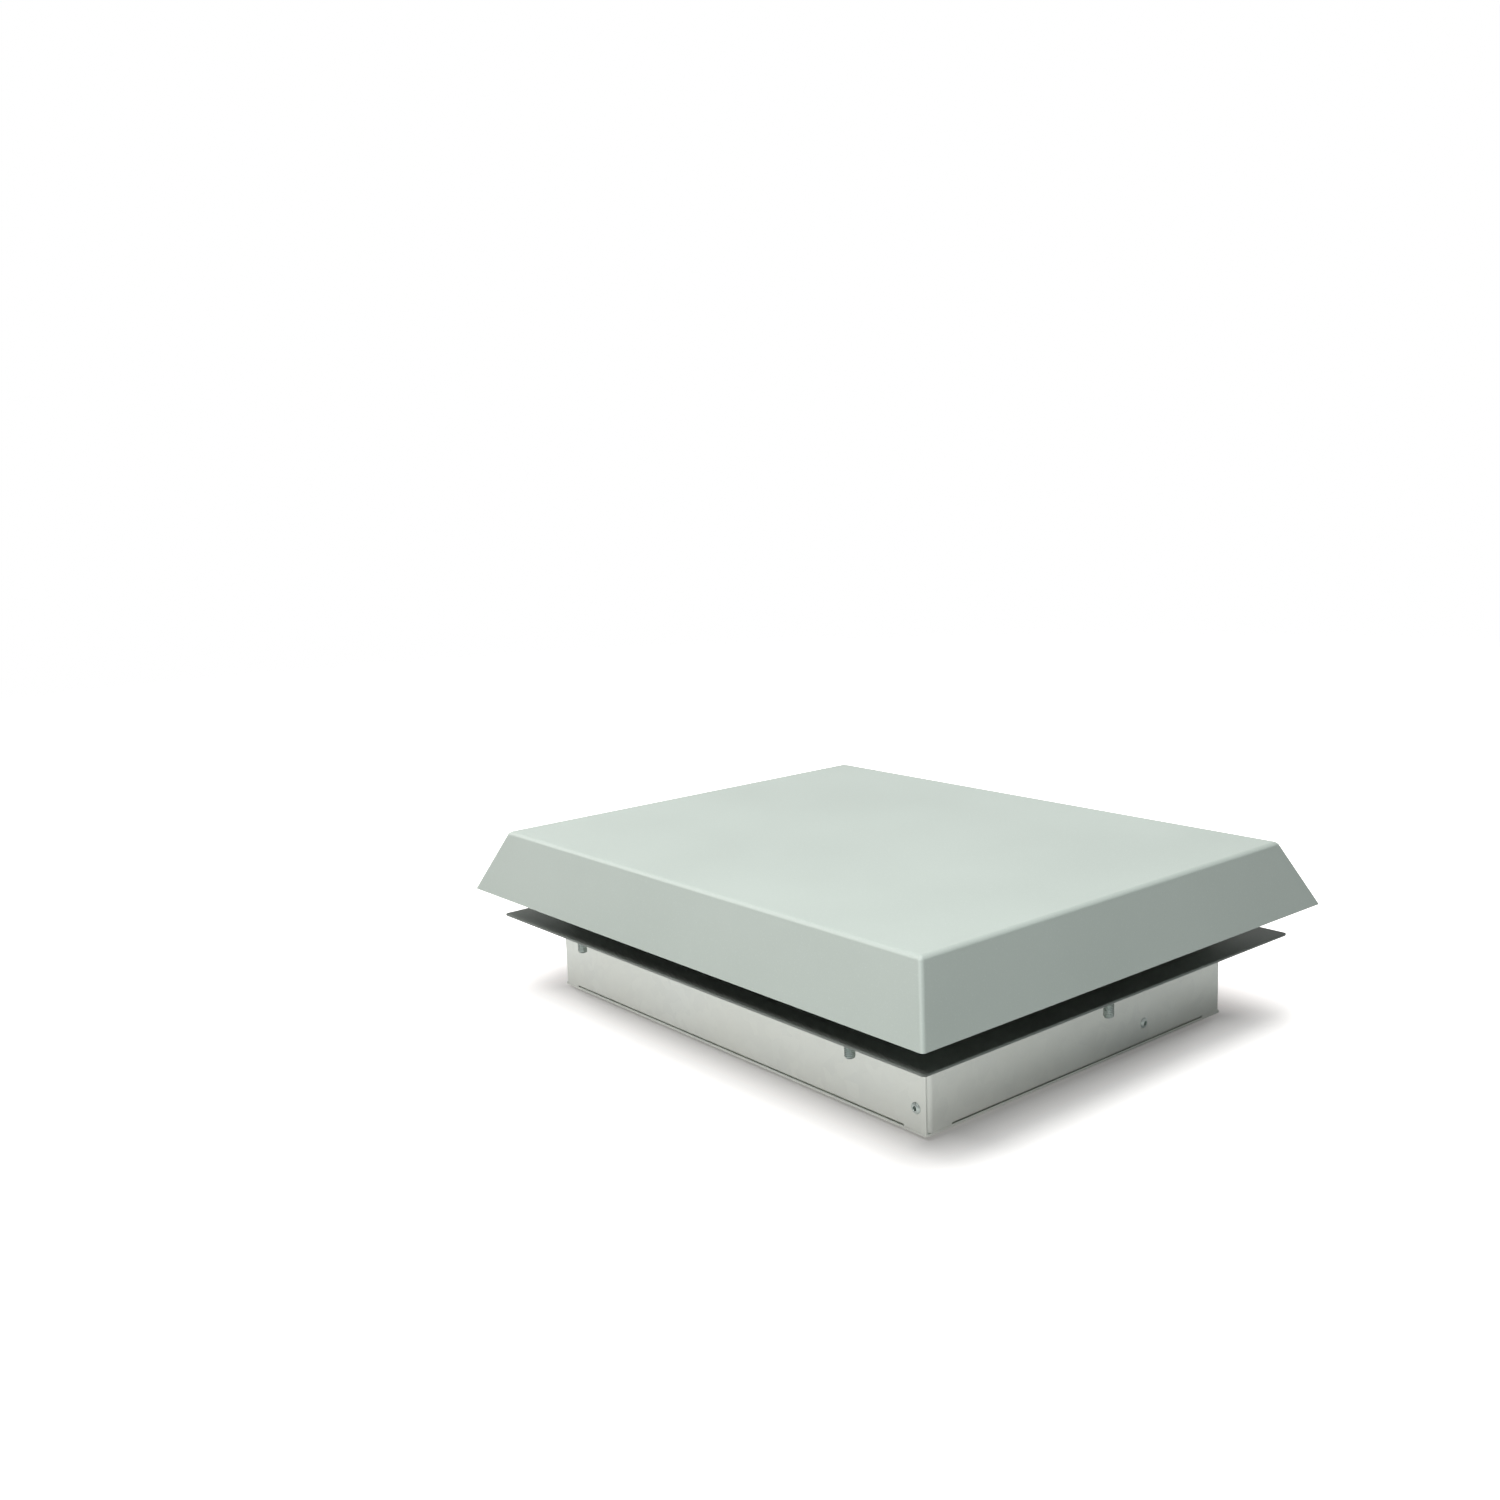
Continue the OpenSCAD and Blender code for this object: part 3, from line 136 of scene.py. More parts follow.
def makeSpangle(s):
    # zinc flowers: cells of one shade each, with feathered insides and a cloudy film over them
    group, entry, leave, where = newGroup("zincSpangle",
                                          [("Cell Scale", "NodeSocketFloat", s["cellScale"]),
                                           ("Cloud Scale", "NodeSocketFloat", s["cloudScale"])],
                                          ("Shade", "Cloud", "Height"))
    bend = addNode(group, "ShaderNodeTexNoise", in_Scale=s["bendScale"], in_Detail=s["bendDetail"])
    group.links.new(where, bend.inputs["Vector"])
    push = addNode(group, "ShaderNodeVectorMath", operation="SCALE", in_Scale=s["bendReach"])
    group.links.new(bend.outputs["Color"], push.inputs[0])
    moved = addVectorMath(group, "ADD", where, push.outputs[0])
    cells = addNode(group, "ShaderNodeTexVoronoi", feature="F1")
    group.links.new(moved, cells.inputs["Vector"])
    group.links.new(entry.outputs["Cell Scale"], cells.inputs["Scale"])
    grey = addNode(group, "ShaderNodeSeparateColor")
    group.links.new(cells.outputs["Color"], grey.inputs[0])
    feather = addNoise(group, moved, s["featherScale"], s["featherDetail"], s["featherRough"])
    cellShade = addMath(group, "MULTIPLY", grey.outputs[0], s["cellShare"])
    shade = addMath(group, "MULTIPLY_ADD", feather, s["featherShare"], cellShade)
    cloud = addNoise(group, where, entry.outputs["Cloud Scale"], s["cloudDetail"], s["cloudRough"])
    height = addMath(group, "MULTIPLY_ADD", cells.outputs["Distance"], s["ridge"], feather)
    group.links.new(shade, leave.inputs["Shade"])
    group.links.new(addRange(group, cloud, *s["cloudRange"]), leave.inputs["Cloud"])
    group.links.new(height, leave.inputs["Height"])
    return group


drawnLook = {"across": (60.0, 900.0, 900.0), "marksDetail": 3.0, "marksRough": 0.6, "marksRange": (0.2, 0.8),
             "stainScale": 40.0, "stainDetail": 4.0, "stainRough": 0.6, "stainRange": (0.35, 0.65),
             "stainShare": 0.5, "depth": 0.00002}


def makeDrawnMarks(s):
    # rolling or turning marks drawn out along one axis
    group, entry, leave, where = newGroup("drawnMarks",
                                          [("Across", "NodeSocketVector", s["across"]),
                                           ("Stain Scale", "NodeSocketFloat", s["stainScale"])],
                                          ("Marks", "Stain"))
    stretched = addVectorMath(group, "MULTIPLY", where, entry.outputs["Across"])
    marks = addNoise(group, stretched, 1.0, s["marksDetail"], s["marksRough"])
    stain = addNoise(group, where, entry.outputs["Stain Scale"], s["stainDetail"], s["stainRough"])
    group.links.new(marks, leave.inputs["Marks"])
    group.links.new(addRange(group, stain, *s["stainRange"]), leave.inputs["Stain"])
    return group


paintGrain = makePaintGrain(paintGrainLook)
zincSpangle = makeSpangle(spangleLook)
drawnMarks = makeDrawnMarks(drawnLook)


def newMaterial(name, metallic=0.0):
    material = bpy.data.materials.new(name)
    material.use_nodes = True
    tree = material.node_tree
    shader = tree.nodes["Principled BSDF"]
    shader.inputs["Metallic"].default_value = metallic
    return material, tree, shader


mixSockets = {"factor": 0, "first": 6, "second": 7, "result": 2}  # places of the colour sockets on a Mix node


def mixColour(tree, factor, first, second):
    mix = addNode(tree, "ShaderNodeMix", data_type="RGBA")
    tree.links.new(factor, mix.inputs[mixSockets["factor"]])
    for place, colour in (("first", first), ("second", second)):
        feed(tree, mix.inputs[mixSockets[place]], (*colour, 1.0) if isinstance(colour, tuple) else colour)
    return mix.outputs[mixSockets["result"]]


def addBump(tree, shader, height, strength, depth):
    bump = addNode(tree, "ShaderNodeBump", in_Strength=strength, in_Distance=depth)
    tree.links.new(height, bump.inputs["Height"])
    tree.links.new(bump.outputs["Normal"], shader.inputs["Normal"])


def useGroup(tree, group, **values):
    return addNode(tree, "ShaderNodeGroup", node_tree=group, **{"in_" + key: v for key, v in values.items()})


def coated(name, dark, light, speck, rough, grain=900.0, depth=0.00004, metallic=0.0, strength=0.5):
    # powder coat, moulded plastic, rubber and foam: grain, mottle and fine specks
    material, tree, shader = newMaterial(name, metallic)
    node = useGroup(tree, paintGrain, Grain_Scale=grain, Mottle_Scale=paintGrainLook["mottleScale"])
    base = mixColour(tree, node.outputs["Mottle"], dark, light)
    tree.links.new(mixColour(tree, node.outputs["Speck"], base, speck), shader.inputs["Base Color"])
    tree.links.new(addRange(tree, node.outputs["Mottle"], 0.0, 1.0, *rough), shader.inputs["Roughness"])
    addBump(tree, shader, node.outputs["Height"], strength, depth)
    return material


def spangled(name, dark, light, film, rough, cell=150.0, strength=0.25):
    # hot-dip zinc
    s = spangleLook
    material, tree, shader = newMaterial(name, 1.0)
    node = useGroup(tree, zincSpangle, Cell_Scale=cell, Cloud_Scale=s["cloudScale"])
    base = mixColour(tree, node.outputs["Shade"], dark, light)
    filmMask = addMath(tree, "MULTIPLY", node.outputs["Cloud"], s["filmShare"])
    tree.links.new(mixColour(tree, filmMask, base, film), shader.inputs["Base Color"])
    tree.links.new(addRange(tree, node.outputs["Shade"], 0.0, 1.0, *rough), shader.inputs["Roughness"])
    addBump(tree, shader, node.outputs["Height"], strength, s["depth"])
    return material


def drawn(name, dark, light, stain, rough, across=(60.0, 900.0, 900.0), metallic=1.0, strength=0.3):
    # turned, rolled, plated and pressed metal
    s = drawnLook
    material, tree, shader = newMaterial(name, metallic)
    node = useGroup(tree, drawnMarks, Across=across, Stain_Scale=s["stainScale"])
    marks = node.outputs["Marks"]
    base = mixColour(tree, marks, dark, light)
    stainMask = addMath(tree, "MULTIPLY", node.outputs["Stain"], s["stainShare"])
    tree.links.new(mixColour(tree, stainMask, base, stain), shader.inputs["Base Color"])
    tree.links.new(addRange(tree, marks, *s["marksRange"], *rough), shader.inputs["Roughness"])
    addBump(tree, shader, marks, strength, s["depth"])
    return material


# one finish for each slot: two shades, the specks, film or stain over them, and the range of roughness
finishes = {
    "painted_sheet": coated("paleGreyPaint", (0.492, 0.542, 0.5), (0.512, 0.562, 0.52), (0.55, 0.6, 0.56),
                            (0.34, 0.4), grain=1100.0, depth=0.00002),
    "galvanised_sheet": spangled("galvanisedSheet", (0.645, 0.675, 0.643), (0.715, 0.745, 0.705),
                                 (0.695, 0.715, 0.66), (0.36, 0.42), strength=0.15),
    "zinc_fastener": drawn("zincFastener", (0.5, 0.56, 0.53), (0.72, 0.77, 0.74), (0.42, 0.5, 0.48),
                           (0.28, 0.42)),
    # the outlet guard's black sheet sits under the hood's rim; its black is partly the guard's paint and
    # partly painted shade for the dark gap there
    "black_sheet": coated("blackSheet", (0.006, 0.008, 0.007), (0.012, 0.014, 0.012), (0.02, 0.022, 0.02),
                          (0.5, 0.62)),
    "gasket_foam": coated("gasketFoam", (0.1, 0.105, 0.1), (0.13, 0.135, 0.13), (0.17, 0.175, 0.17),
                          (0.85, 0.95), grain=1600.0, depth=0.0002, strength=0.9),
    "grommet_rubber": coated("grommetRubber", (0.012, 0.012, 0.012), (0.02, 0.02, 0.02),
                             (0.035, 0.035, 0.035), (0.55, 0.7)),
    "housing_plastic": coated("housingPlastic", (0.022, 0.023, 0.025), (0.032, 0.033, 0.035),
                              (0.05, 0.05, 0.052), (0.42, 0.52), grain=2200.0),
    "contact_brass": drawn("contactBrass", (0.62, 0.42, 0.16), (0.82, 0.6, 0.28), (0.5, 0.36, 0.2),
                           (0.22, 0.36)),
    "label_film": drawn("labelFilm", (0.56, 0.54, 0.47), (0.62, 0.6, 0.53), (0.58, 0.56, 0.5), (0.32, 0.4),
                        across=(900.0, 30.0, 900.0), metallic=0.7, strength=0.1),
    "label_film_dark": drawn("labelFilmDark", (0.42, 0.4, 0.33), (0.47, 0.45, 0.38), (0.44, 0.42, 0.36),
                             (0.34, 0.42), across=(900.0, 30.0, 900.0), metallic=0.7, strength=0.1),
    "nozzle_sheet": spangled("nozzleSheet", (0.62, 0.64, 0.63), (0.78, 0.8, 0.79), (0.7, 0.72, 0.7),
                             (0.34, 0.46), cell=220.0),
    "rotor_metal": drawn("rotorMetal", (0.18, 0.33, 0.31), (0.32, 0.5, 0.47), (0.2, 0.36, 0.34), (0.25, 0.38),
                         across=(200.0, 200.0, 1500.0)),
    "impeller_sheet": spangled("impellerSheet", (0.3, 0.31, 0.3), (0.42, 0.43, 0.42), (0.34, 0.35, 0.34),
                               (0.4, 0.5), cell=260.0),
    "balance_metal": drawn("balanceMetal", (0.6, 0.56, 0.46), (0.75, 0.7, 0.6), (0.6, 0.55, 0.46),
                           (0.3, 0.4)),
    "machined_steel": drawn("machinedSteel", (0.46, 0.47, 0.48), (0.66, 0.67, 0.68), (0.45, 0.46, 0.46),
                            (0.2, 0.34), across=(900.0, 900.0, 2400.0)),
    "bearing_steel": drawn("bearingSteel", (0.62, 0.63, 0.64), (0.8, 0.81, 0.82), (0.62, 0.63, 0.64),
                           (0.12, 0.2)),
    "stator_sheet": drawn("statorSheet", (0.13, 0.135, 0.15), (0.3, 0.31, 0.34), (0.16, 0.14, 0.12),
                          (0.4, 0.55), across=(60.0, 60.0, 4000.0), strength=0.6),
    "coil_wire": drawn("coilWire", (0.4, 0.12, 0.035), (0.72, 0.3, 0.11), (0.35, 0.12, 0.04), (0.2, 0.34),
                       across=(300.0, 300.0, 1400.0), strength=0.8),
    "motor_casting": coated("motorCasting", (0.36, 0.37, 0.37), (0.46, 0.47, 0.47), (0.56, 0.57, 0.57),
                            (0.4, 0.52), metallic=0.8, depth=0.0001),
    "capacitor_can": coated("capacitorCan", (0.62, 0.62, 0.6), (0.7, 0.7, 0.68), (0.75, 0.75, 0.73),
                            (0.35, 0.45)),
}
print("materials ready:", len(finishes))


def wear(piece, slotName):
    piece.data.materials.clear()
    piece.data.materials.append(finishes[slotName])


# every CAD node takes the finish its record names; some are swapped for finer meshes further down
slotOfNode = {part["node"]: part["material_slot"] for part in frame["record"]["subparts"]}
movingNodes = {"rotor": ("shaft", "shaft_circlip", "rotor_can", "rotor_cage", "bearing_inner_rings",
                         "impeller_back_plate", "impeller_blades", "impeller_shroud", "impeller_rivets",
                         "balance_ring"),
               "hood": ("hood", "hood_strips", "hood_pins")}
bodyOfNode = {nodeName: "base" for nodeName in slotOfNode}
bodyOfNode.update({nodeName: body for body, names in movingNodes.items() for nodeName in names})
for nodeName, node in frame["nodes"].items():
    wear(node, slotOfNode[nodeName])
print("CAD nodes finished:", len(slotOfNode))


meshing = {"weld": 0.0005, "onAxis": 1e-6, "sharpAngle": 25.0, "evenWeight": 90}


def newPiece(name, bm, slotName, body, replaced, sharpAngle=meshing["sharpAngle"]):
    # pieces are drawn in millimetres and brought to metres here
    bmesh.ops.remove_doubles(bm, verts=bm.verts[:], dist=meshing["weld"])
    bmesh.ops.recalc_face_normals(bm, faces=bm.faces[:])
    bmesh.ops.scale(bm, vec=(mm, mm, mm), verts=bm.verts[:])
    for e in bm.edges:
        e.smooth = True
    mesh = bpy.data.meshes.new(name)
    bm.to_mesh(mesh)
    bm.free()
    piece = bpy.data.objects.new(name, mesh)
    bpy.context.collection.objects.link(piece)
    wear(piece, slotName)
    mesh.shade_smooth()
    mesh.set_sharp_from_angle(angle=math.radians(sharpAngle))
    even = piece.modifiers.new("evenNormals", "WEIGHTED_NORMAL")
    even.weight, even.keep_sharp = meshing["evenWeight"], True  # flat faces stay flat beside their bends
    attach(piece, body)
    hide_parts(*replaced)


def boxOf(nodeName):
    low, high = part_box(nodeName)
    return low / mm, high / mm


def at(x=0.0, y=0.0, z=0.0, turn=0.0, axis="Z"):
    return Matrix.Translation((x, y, z)) @ Matrix.Rotation(math.radians(turn), 4, axis)


def ringOf(count, place):
    # the same place again at even steps round the shaft
    return [Matrix.Rotation(math.tau * k / count, 4, "Z") @ place for k in range(count)]


def addCopies(bm, small, places):
    mesh = bpy.data.meshes.new("small")
    small.to_mesh(mesh)
    small.free()
    for place in places:
        mesh.transform(place)
        bm.from_mesh(mesh)
        mesh.transform(place.inverted())
    bpy.data.meshes.remove(mesh)


def breakEdges(bm, edges, width, segments, clamp=False):
    bmesh.ops.bevel(bm, geom=edges, offset=width, offset_type="OFFSET", affect="EDGES", segments=segments,
                    profile=0.5, material=-1, clamp_overlap=clamp)


def cutLevel(bm, height, side):
    # what lies above the height (side 1) or below it (side -1) goes
    bmesh.ops.bisect_plane(bm, geom=bm.verts[:] + bm.edges[:] + bm.faces[:], plane_co=(0, 0, height),
                           plane_no=(0, 0, side), clear_outer=True)


def turned(profile, steps=32):
    # a closed outline of (radius, height) points spun into a solid
    bm = bmesh.new()
    points = [bm.verts.new((r, 0, z)) for r, z in profile]
    line = [bm.edges.new((points[i - 1], points[i])) for i in range(len(points))]
    line = [e for e in line if not all(abs(v.co.x) < meshing["onAxis"] for v in e.verts)]
    bmesh.ops.spin(bm, geom=points + line, cent=(0, 0, 0), axis=(0, 0, 1), dvec=(0, 0, 0), angle=math.tau,
                   steps=steps, use_merge=True, use_normal_flip=False, use_duplicate=False)
    bmesh.ops.remove_doubles(bm, verts=bm.verts[:], dist=meshing["weld"])
    bmesh.ops.delete(bm, geom=[e for e in bm.edges if not e.link_faces], context="EDGES")
    bmesh.ops.recalc_face_normals(bm, faces=bm.faces[:])
    return bm


hoodShape = {"sheet": 1.5, "sideIn": 18.0, "bendRadius": 3.0, "cornerRadius": 2.2, "segments": 6,
             "spare": 2.0, "sharpAngle": 30.0}


def makeHood(s):
    # a drawn frustum: round bends along its top and down its corners, then the sheet's thickness inwards
    low, high = boxOf("hood")
    flare = s["spare"] * s["sideIn"] / (high.z - low.z)  # the sides run on below the rim and are cut there
    bm = bmesh.new()
    bmesh.ops.create_cube(bm, size=1.0)
    for v in bm.verts:
        top = v.co.z > 0
        v.co.x = math.copysign(high.x - s["sideIn"] if top else high.x + flare, v.co.x)
        v.co.y = math.copysign(high.y - s["sideIn"] if top else high.y + flare, v.co.y)
        v.co.z = high.z if top else low.z - s["spare"]
    under = [f for f in bm.faces if all(v.co.z < low.z for v in f.verts)]
    bmesh.ops.delete(bm, geom=under, context="FACES_ONLY")
    corners = [e for e in bm.edges if e.verts[0].co.z != e.verts[1].co.z]
    breakEdges(bm, corners, s["cornerRadius"], s["segments"], clamp=True)
    level = high.z - s["spare"]
    ridges = [e for e in bm.edges if all(v.co.z > level for v in e.verts)]
    breakEdges(bm, ridges, s["bendRadius"], s["segments"], clamp=True)
    bmesh.ops.recalc_face_normals(bm, faces=bm.faces[:])
    bmesh.ops.solidify(bm, geom=bm.faces[:], thickness=s["sheet"])
    cutLevel(bm, low.z, -1)
    bmesh.ops.bridge_loops(bm, edges=[e for e in bm.edges if e.is_boundary])
    newPiece("roundedHood", bm, "painted_sheet", "hood", ("hood",), s["sharpAngle"])


makeHood(hoodShape)
print("hood made")


# how much each sheet, turned piece and fastener loses at its cut edges, in millimetres
edgeBreaks = {
    "flange_plate": 0.3, "bottom_plate": 0.2, "connector_plate": 0.25, "upper_label": 0.08,
    "lower_label": 0.08, "motor_bracket": 0.3, "inlet_nozzle": 0.2, "connector_housing": 0.3,
    "hood_strips": 0.3, "capacitor_clip": 0.2, "stator_flange": 0.25, "stator_core": 0.12, "rotor_can": 0.2,
    "rotor_cage": 0.2, "impeller_back_plate": 0.2, "impeller_shroud": 0.2, "impeller_blades": 0.15,
    "balance_ring": 0.25, "shaft": 0.3, "shaft_circlip": 0.15, "plate_screws": 0.15, "fan_screws": 0.15,
    "earth_screw": 0.15, "earth_washer": 0.12, "stator_screws": 0.15, "guard_screws": 0.12,
    "post_screws": 0.15, "connector_clips": 0.15, "outlet_guard": 0.15, "plate_nuts": 0.3, "earth_nut": 0.3,
    "bracket_nuts": 0.35, "flange_gasket": 0.3, "hood_posts": 0.35, "post_grommets": 0.5, "hood_pins": 0.3,
    "lower_standoffs": 0.3, "upper_standoffs": 0.3, "lower_bearing": 0.2, "upper_bearing": 0.2,
    "bearing_inner_rings": 0.15}
wallBreaks = {"walls": ("front_left_wall", "back_right_wall"), "width": 0.2, "rise": 10.0}
breakShape = {"segments": 2, "cutAngle": 32.0, "flatAngle": 0.5, "weld": 0.002, "sharpAngle": 20.0}


def soften(nodeName, width, s, rise=0.0):
    # the CAD piece again with its cut edges broken, or only those that go up by "rise" or more
    node = frame["nodes"][nodeName]
    bm = bmesh.new()
    bm.from_mesh(node.data)
    bm.transform(node.matrix_world)
    bmesh.ops.scale(bm, vec=(1 / mm, 1 / mm, 1 / mm), verts=bm.verts[:])
    bmesh.ops.remove_doubles(bm, verts=bm.verts[:], dist=s["weld"])
    bmesh.ops.dissolve_limit(bm, angle_limit=math.radians(s["flatAngle"]), use_dissolve_boundaries=False,
                             verts=bm.verts[:], edges=bm.edges[:])
    cut = [e for e in bm.edges if len(e.link_faces) == 2
           and e.calc_face_angle(0) > math.radians(s["cutAngle"])
           and abs(e.verts[0].co.z - e.verts[1].co.z) >= rise]
    breakEdges(bm, cut, width, s["segments"])
    newPiece("soft_" + nodeName, bm, slotOfNode[nodeName], bodyOfNode[nodeName], (nodeName,), s["sharpAngle"])


for nodeName in wallBreaks["walls"]:
    soften(nodeName, wallBreaks["width"], breakShape, rise=wallBreaks["rise"])
for nodeName, width in edgeBreaks.items():
    soften(nodeName, width, breakShape)
print("cut edges broken:", len(edgeBreaks))


studShape = {"places": ((126.5, 141), (-126.5, 141), (-126.5, -141), (126.5, -141), (183.7, 0), (-183.7, 0)),
             "crest": 3.0, "root": 2.5, "pitch": 1.0, "crestFrom": 0.4, "crestTo": 0.6, "steps": 24,
             "tip": 1.0, "tipTaper": 0.22, "weldRadius": 3.95, "weldHeight": 0.8, "weldSide": 0.55,
             "weldSlope": 0.9, "weldRound": 0.3, "weldInto": 0.6, "join": 0.002, "level": 0.001}


def threaded(s, bottom, top):
    # a zigzag spun once round while it climbs one pitch, cut square at both ends
    bm = bmesh.new()
    pitch, steps = s["pitch"], s["steps"]
    tooth = ((s["root"], 0.0), (s["crest"], s["crestFrom"]), (s["crest"], s["crestTo"]))
    points, z = [], bottom - pitch
    while z < top + pitch:
        points += [(r, z + pitch * share) for r, share in tooth]
        z += pitch
    verts = [bm.verts.new((r, 0, h)) for r, h in points]
    edges = [bm.edges.new(pair) for pair in zip(verts, verts[1:])]
    bmesh.ops.spin(bm, geom=verts + edges, cent=(0, 0, 0), axis=(0, 0, 1), dvec=(0, 0, pitch / steps),
                   angle=math.tau, steps=steps, use_merge=False, use_normal_flip=False, use_duplicate=False)
    bmesh.ops.remove_doubles(bm, verts=bm.verts[:], dist=s["join"])
    for height, side in ((bottom, -1), (top, 1)):
        cutLevel(bm, height, side)
        rim = [e for e in bm.edges if all(abs(v.co.z - height) < s["level"] for v in e.verts)]
        bmesh.ops.edgeloop_fill(bm, edges=[e for e in rim if e.is_boundary])
    for v in bm.verts:
        near = min(abs(v.co.z - bottom), s["tip"])
        share = 1 - s["tipTaper"] * (1 - near / s["tip"])
        v.co.x, v.co.y = v.co.x * share, v.co.y * share
    bmesh.ops.recalc_face_normals(bm, faces=bm.faces[:])
    return bm


def makeStuds(s):
    # weld studs: a low weld collar against the flange and a rolled thread down to a chamfered end
    low, high = boxOf("flange_studs")
    r, h = s["weldRadius"], s["weldHeight"]
    stud = threaded(s, low.z, high.z - h * s["weldInto"])
    collar = turned([(0, high.z), (r, high.z), (r, high.z - h * s["weldSide"]),
                     (r - s["weldRound"], high.z - h * s["weldSlope"]), (s["crest"], high.z - h),
                     (0, high.z - h)])
    addCopies(stud, collar, [Matrix()])
    bm = bmesh.new()
    addCopies(bm, stud, [at(x, y) for x, y in s["places"]])
    newPiece("threadedStuds", bm, "zinc_fastener", "base", ("flange_studs",))


makeStuds(studShape)


# the pin's and the head's lines are (share of a radius, share of the head's height), inwards and outwards;
# the tail's are (share of its radius, millimetres from the grip or from the end)
rivetShape = {"headRadius": 3.2, "headHeight": 1.1, "shank": 1.6, "tail": 2.24, "hole": 1.25, "mandrel": 0.95,
              "holeDepth": 0.9, "pinLine": ((0.0, 0.7), (0.7, 0.65), (1.0, 0.8), (1.0, 0.9)),
              "lip": 0.2, "lipFrom": 0.82, "headLine": ((0.55, 0.93), (0.8, 0.66), (0.95, 0.3), (1.0, 0.1)),
              "tailLine": ((0.9, 0.0), (1.0, 0.3)), "tailEnd": ((1.0, 0.4), (0.75, 0.0)),
              "grip": 2.4, "clipGrip": 2.2, "across": 162.0, "height": 16.4, "clipY": 52.2, "clipZ": 15.8}


def blindRivet(s, grip):
    # the head is dished in round the broken end of its pulling pin
    r, h = s["headRadius"], s["headHeight"]
    tail, end = s["tail"], grip + s["shank"]
    profile = [(s["mandrel"] * a, h * b) for a, b in s["pinLine"]]
    profile += [(s["hole"], h * s["holeDepth"]), (s["hole"], -h * s["lipFrom"]), (s["hole"] + s["lip"], -h)]
    profile += [(r * a, -h * b) for a, b in s["headLine"]] + [(r, 0), (s["shank"], 0), (s["shank"], grip)]
    profile += [(tail * a, grip + b) for a, b in s["tailLine"]]
    profile += [(tail * a, end - b) for a, b in s["tailEnd"]]
    return turned(profile + [(0, end)])


def makeRivets(s):
    corner, clip = boxOf("corner_rivets")[1], boxOf("clip_rivet")[1]
    face = corner.y - s["headHeight"]
    bm = bmesh.new()
    addCopies(bm, blindRivet(s, s["grip"]),
              [at(-side * s["across"], side * face, s["height"], 90 * side, "X") for side in (-1, 1)])
    newPiece("cornerRivets", bm, "zinc_fastener", "base", ("corner_rivets",))
    bm = bmesh.new()
    addCopies(bm, blindRivet(s, s["clipGrip"]),
              [at(clip.x - s["headHeight"], s["clipY"], s["clipZ"], -90, "Y")])
    newPiece("clipRivet", bm, "zinc_fastener", "base", ("clip_rivet",))


makeRivets(rivetShape)


coilShape = {"teeth": 8, "turns": 12, "inner": 16.6, "outer": 25.7, "wire": 0.4, "wireSides": 8,
             "bendSteps": 4, "halfWidth": 4.3, "corner": 2.0, "openHalf": 2.65, "openDepth": 2.85,
             "packIn": 0.4}


def wireLoop(s, width, height):
    # round wire run once round a rounded oblong that stands in the y-z plane
    corner = s["corner"]
    bm = bmesh.new()
    ring = bmesh.ops.create_circle(bm, cap_ends=False, segments=s["wireSides"], radius=s["wire"])["verts"]
    bmesh.ops.translate(bm, vec=(0, width / 2, corner - height / 2), verts=ring)
    edges = bm.edges[:]
    ahead, centre = Vector((0, 0, 1)), Vector((0, width / 2 - corner, corner - height / 2))
    for straight in (height, width, height, width):
        step = ahead * (straight - 2 * corner)
        grown = bmesh.ops.extrude_edge_only(bm, edges=edges)["geom"]
        bmesh.ops.translate(bm, vec=step, verts=[g for g in grown if isinstance(g, bmesh.types.BMVert)])
        centre = centre + step
        front = [g for g in grown if isinstance(g, bmesh.types.BMEdge) and all(v in grown for v in g.verts)]
        spun = bmesh.ops.spin(bm, geom=front, cent=centre, axis=(1, 0, 0), dvec=(0, 0, 0), angle=math.pi / 2,
                              steps=s["bendSteps"])["geom_last"]
        edges = [g for g in spun if isinstance(g, bmesh.types.BMEdge)]
        ahead = Matrix.Rotation(math.pi / 2, 3, "X") @ ahead
    bmesh.ops.remove_doubles(bm, verts=bm.verts[:], dist=meshing["weld"])
    return bm


def makeCoils(s):
    # turns of wire side by side on every tooth, with the deeper layers as a ring behind them
    low, high = boxOf("stator_coils")
    middle, height = (low.z + high.z) / 2, high.z - low.z
    wire, depth = s["wire"], s["outer"] - s["inner"]
    width = 2 * (s["halfWidth"] - wire)
    coil = bmesh.new()
    pitch = depth / (s["turns"] - 1)
    turns = [at(s["inner"] + i * pitch) for i in range(s["turns"])]
    addCopies(coil, wireLoop(s, width, height - 2 * wire), turns)
    pack = bmesh.new()
    bmesh.ops.create_cube(pack, size=1.0, matrix=Matrix.Diagonal((depth, width, height - 2 * wire, 1)))
    ends = [f for f in pack.faces if abs(f.normal.x) > 0.9]
    bmesh.ops.inset_individual(pack, faces=ends, thickness=s["halfWidth"] - wire - s["openHalf"], depth=0)
    for f in ends:
        for v in f.verts:
            v.co.z = math.copysign(height / 2 - s["openDepth"] - wire * s["packIn"], v.co.z)
    loops = [e for f in ends for e in f.edges]
    bmesh.ops.delete(pack, geom=ends, context="FACES_ONLY")
    bmesh.ops.bridge_loops(pack, edges=loops)
    addCopies(coil, pack, [at((s["outer"] + s["inner"]) / 2)])
    bm = bmesh.new()
    addCopies(bm, coil, ringOf(s["teeth"], at(0, 0, middle)))
    newPiece("woundCoils", bm, "coil_wire", "base", ("stator_coils",))


makeCoils(coilShape)


rotorRivet = {"count": 8, "ring": 36.75, "shank": 1.2, "head": 1.98, "headHeight": 0.8, "steps": 24,
              "dome": ((0.0, 1.0), (0.5, 0.92), (0.8, 0.62), (0.96, 0.25), (1.0, 0.0))}


